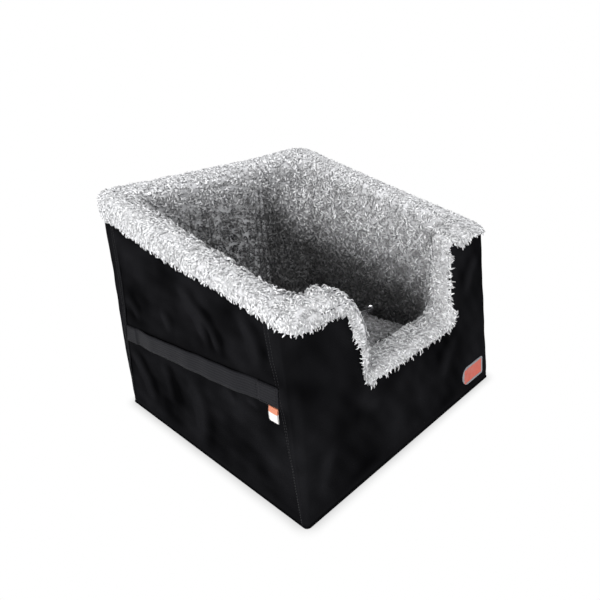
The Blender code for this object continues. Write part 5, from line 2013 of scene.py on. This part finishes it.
def add_camera():
    data = bpy.data.cameras.new("camera")
    camera = bpy.data.objects.new("camera", data)
    bpy.context.scene.collection.objects.link(camera)
    place, target = Vector(CAMERA_PLACE), Vector(CAMERA_TARGET)
    back = (place - target).normalized()
    right = Vector((0, 0, 1)).cross(back).normalized()
    up = back.cross(right)
    c, s = math.cos(CAMERA_ROLL), math.sin(CAMERA_ROLL)
    axes = Matrix((c * right + s * up, c * up - s * right, back)).transposed()
    camera.matrix_world = Matrix.Translation(place) @ axes.to_4x4()
    data.lens = CAMERA_LENS
    data.sensor_width = 36.0
    data.shift_x, data.shift_y = CAMERA_SHIFT
    data.clip_start = 0.01
    bpy.context.scene.camera = camera


def add_lamp(name, place, target, size, energy):
    data = bpy.data.lights.new(name, "AREA")
    data.shape = "RECTANGLE"
    data.size = data.size_y = size
    data.energy = energy
    lamp = bpy.data.objects.new(name, data)
    bpy.context.scene.collection.objects.link(lamp)
    lamp.location = place
    lamp.rotation_euler = (Vector(place) - Vector(target)).to_track_quat("Z", "Y").to_euler()


def floor_material():
    """White to the camera with a narrow shadow round the foot; pale and faintly mottled to the light."""
    material, tree, shader = new_material("stage_floor")
    colour = (*bpy.context.scene.seat_stage.floor_colour, 1.0)
    cloud = noise_node(tree, object_place(tree), 3.0)
    mottled = mix_colour(tree, cloud, colour, tuple(0.99 * v for v in colour))
    seen = add_node(tree, "LightPath", {}).outputs["Is Camera Ray"]
    near = add_node(tree, "AmbientOcclusion", {"Distance": 0.022}, samples=12)
    level = remap(tree, near.outputs["AO"], 0.5, 0.97, 0.66, 1.0)
    tree.links.new(mix_colour(tree, seen, mottled, (0.0, 0.0, 0.0, 1.0)), shader["Base Color"])
    tree.links.new(math_node(tree, "MULTIPLY", seen, level), shader["Emission Strength"])
    shader["Emission Color"].default_value = (1, 1, 1, 1)
    shader["Roughness"].default_value = 0.9
    shader["Specular IOR Level"].default_value = 0.0
    return material


def white_world():
    """Plain white where it is seen, also in metal; soft and bluish as light."""
    world = bpy.data.worlds.new("studio")
    bpy.context.scene.world = world
    world.use_nodes = True
    tree = world.node_tree
    tree.nodes.clear()
    path = add_node(tree, "LightPath", {}).outputs
    seen = math_node(tree, "ADD", path["Is Camera Ray"], path["Is Glossy Ray"], clamp=True)
    seen = math_node(tree, "ADD", seen, path["Is Transmission Ray"], clamp=True)
    soft = add_node(tree, "Background", {0: (0.92, 0.95, 1.0, 1.0), 1: 0.34}).outputs[0]
    plain = add_node(tree, "Background", {0: (1, 1, 1, 1), 1: 1.0}).outputs[0]
    mix = add_node(tree, "MixShader", {0: seen, 1: soft, 2: plain}).outputs[0]
    add_node(tree, "OutputWorld", {0: mix})


class SEAT_OT_stage(bpy.types.Operator):
    """Set the pale floor, the studio lights and the camera"""
    bl_idname = "seat.stage"
    bl_label = "Stage"

    def execute(self, context):
        context.scene.view_settings.view_transform = "Standard"
        add_camera()
        bpy.ops.object.select_all(action="DESELECT")
        bpy.ops.mesh.primitive_plane_add(size=14, location=(0, 0, 0))
        floor = context.object
        floor.name = "stage_floor"
        floor.data.materials.append(floor_material())
        white_world()
        for lamp in LAMPS:
            add_lamp(*lamp)
        return {"FINISHED"}


class SEAT_PT_panel(bpy.types.Panel):
    bl_label = "Dog Car Seat"
    bl_idname = "SEAT_PT_panel"
    bl_space_type = "VIEW_3D"
    bl_region_type = "UI"
    bl_category = "Dog Seat"

    def draw(self, context):
        column = self.layout.column()
        scene = context.scene
        for group in (scene.seat_tub, scene.seat_fleece, scene.seat_leash, scene.seat_stage):
            for name in group.__annotations__:
                column.prop(group, name)
        for operator in OPERATORS:
            column.operator(operator.bl_idname)


OPERATORS = (
    SEAT_OT_stage, SEAT_OT_leash, SEAT_OT_fleece, SEAT_OT_cushion, SEAT_OT_covers, SEAT_OT_belt_straps,
    SEAT_OT_trim, SEAT_OT_metal, SEAT_OT_inside,
)
GROUP_CLASSES = (
    (TubLooks, "seat_tub"), (FleeceLooks, "seat_fleece"), (LeashLooks, "seat_leash"),
    (StageLooks, "seat_stage"),
)


def register():
    for kind, name in GROUP_CLASSES:
        bpy.utils.register_class(kind)
        setattr(bpy.types.Scene, name, PointerProperty(type=kind))
    for kind in OPERATORS:
        bpy.utils.register_class(kind)
    bpy.utils.register_class(SEAT_PT_panel)


def unregister():
    bpy.utils.unregister_class(SEAT_PT_panel)
    for kind in reversed(OPERATORS):
        bpy.utils.unregister_class(kind)
    for kind, name in reversed(GROUP_CLASSES):
        delattr(bpy.types.Scene, name)
        bpy.utils.unregister_class(kind)


def main():
    register()
    for operator in OPERATORS:
        group, action = operator.bl_idname.split(".")
        getattr(getattr(bpy.ops, group), action)()


if __name__ == "__main__":
    main()
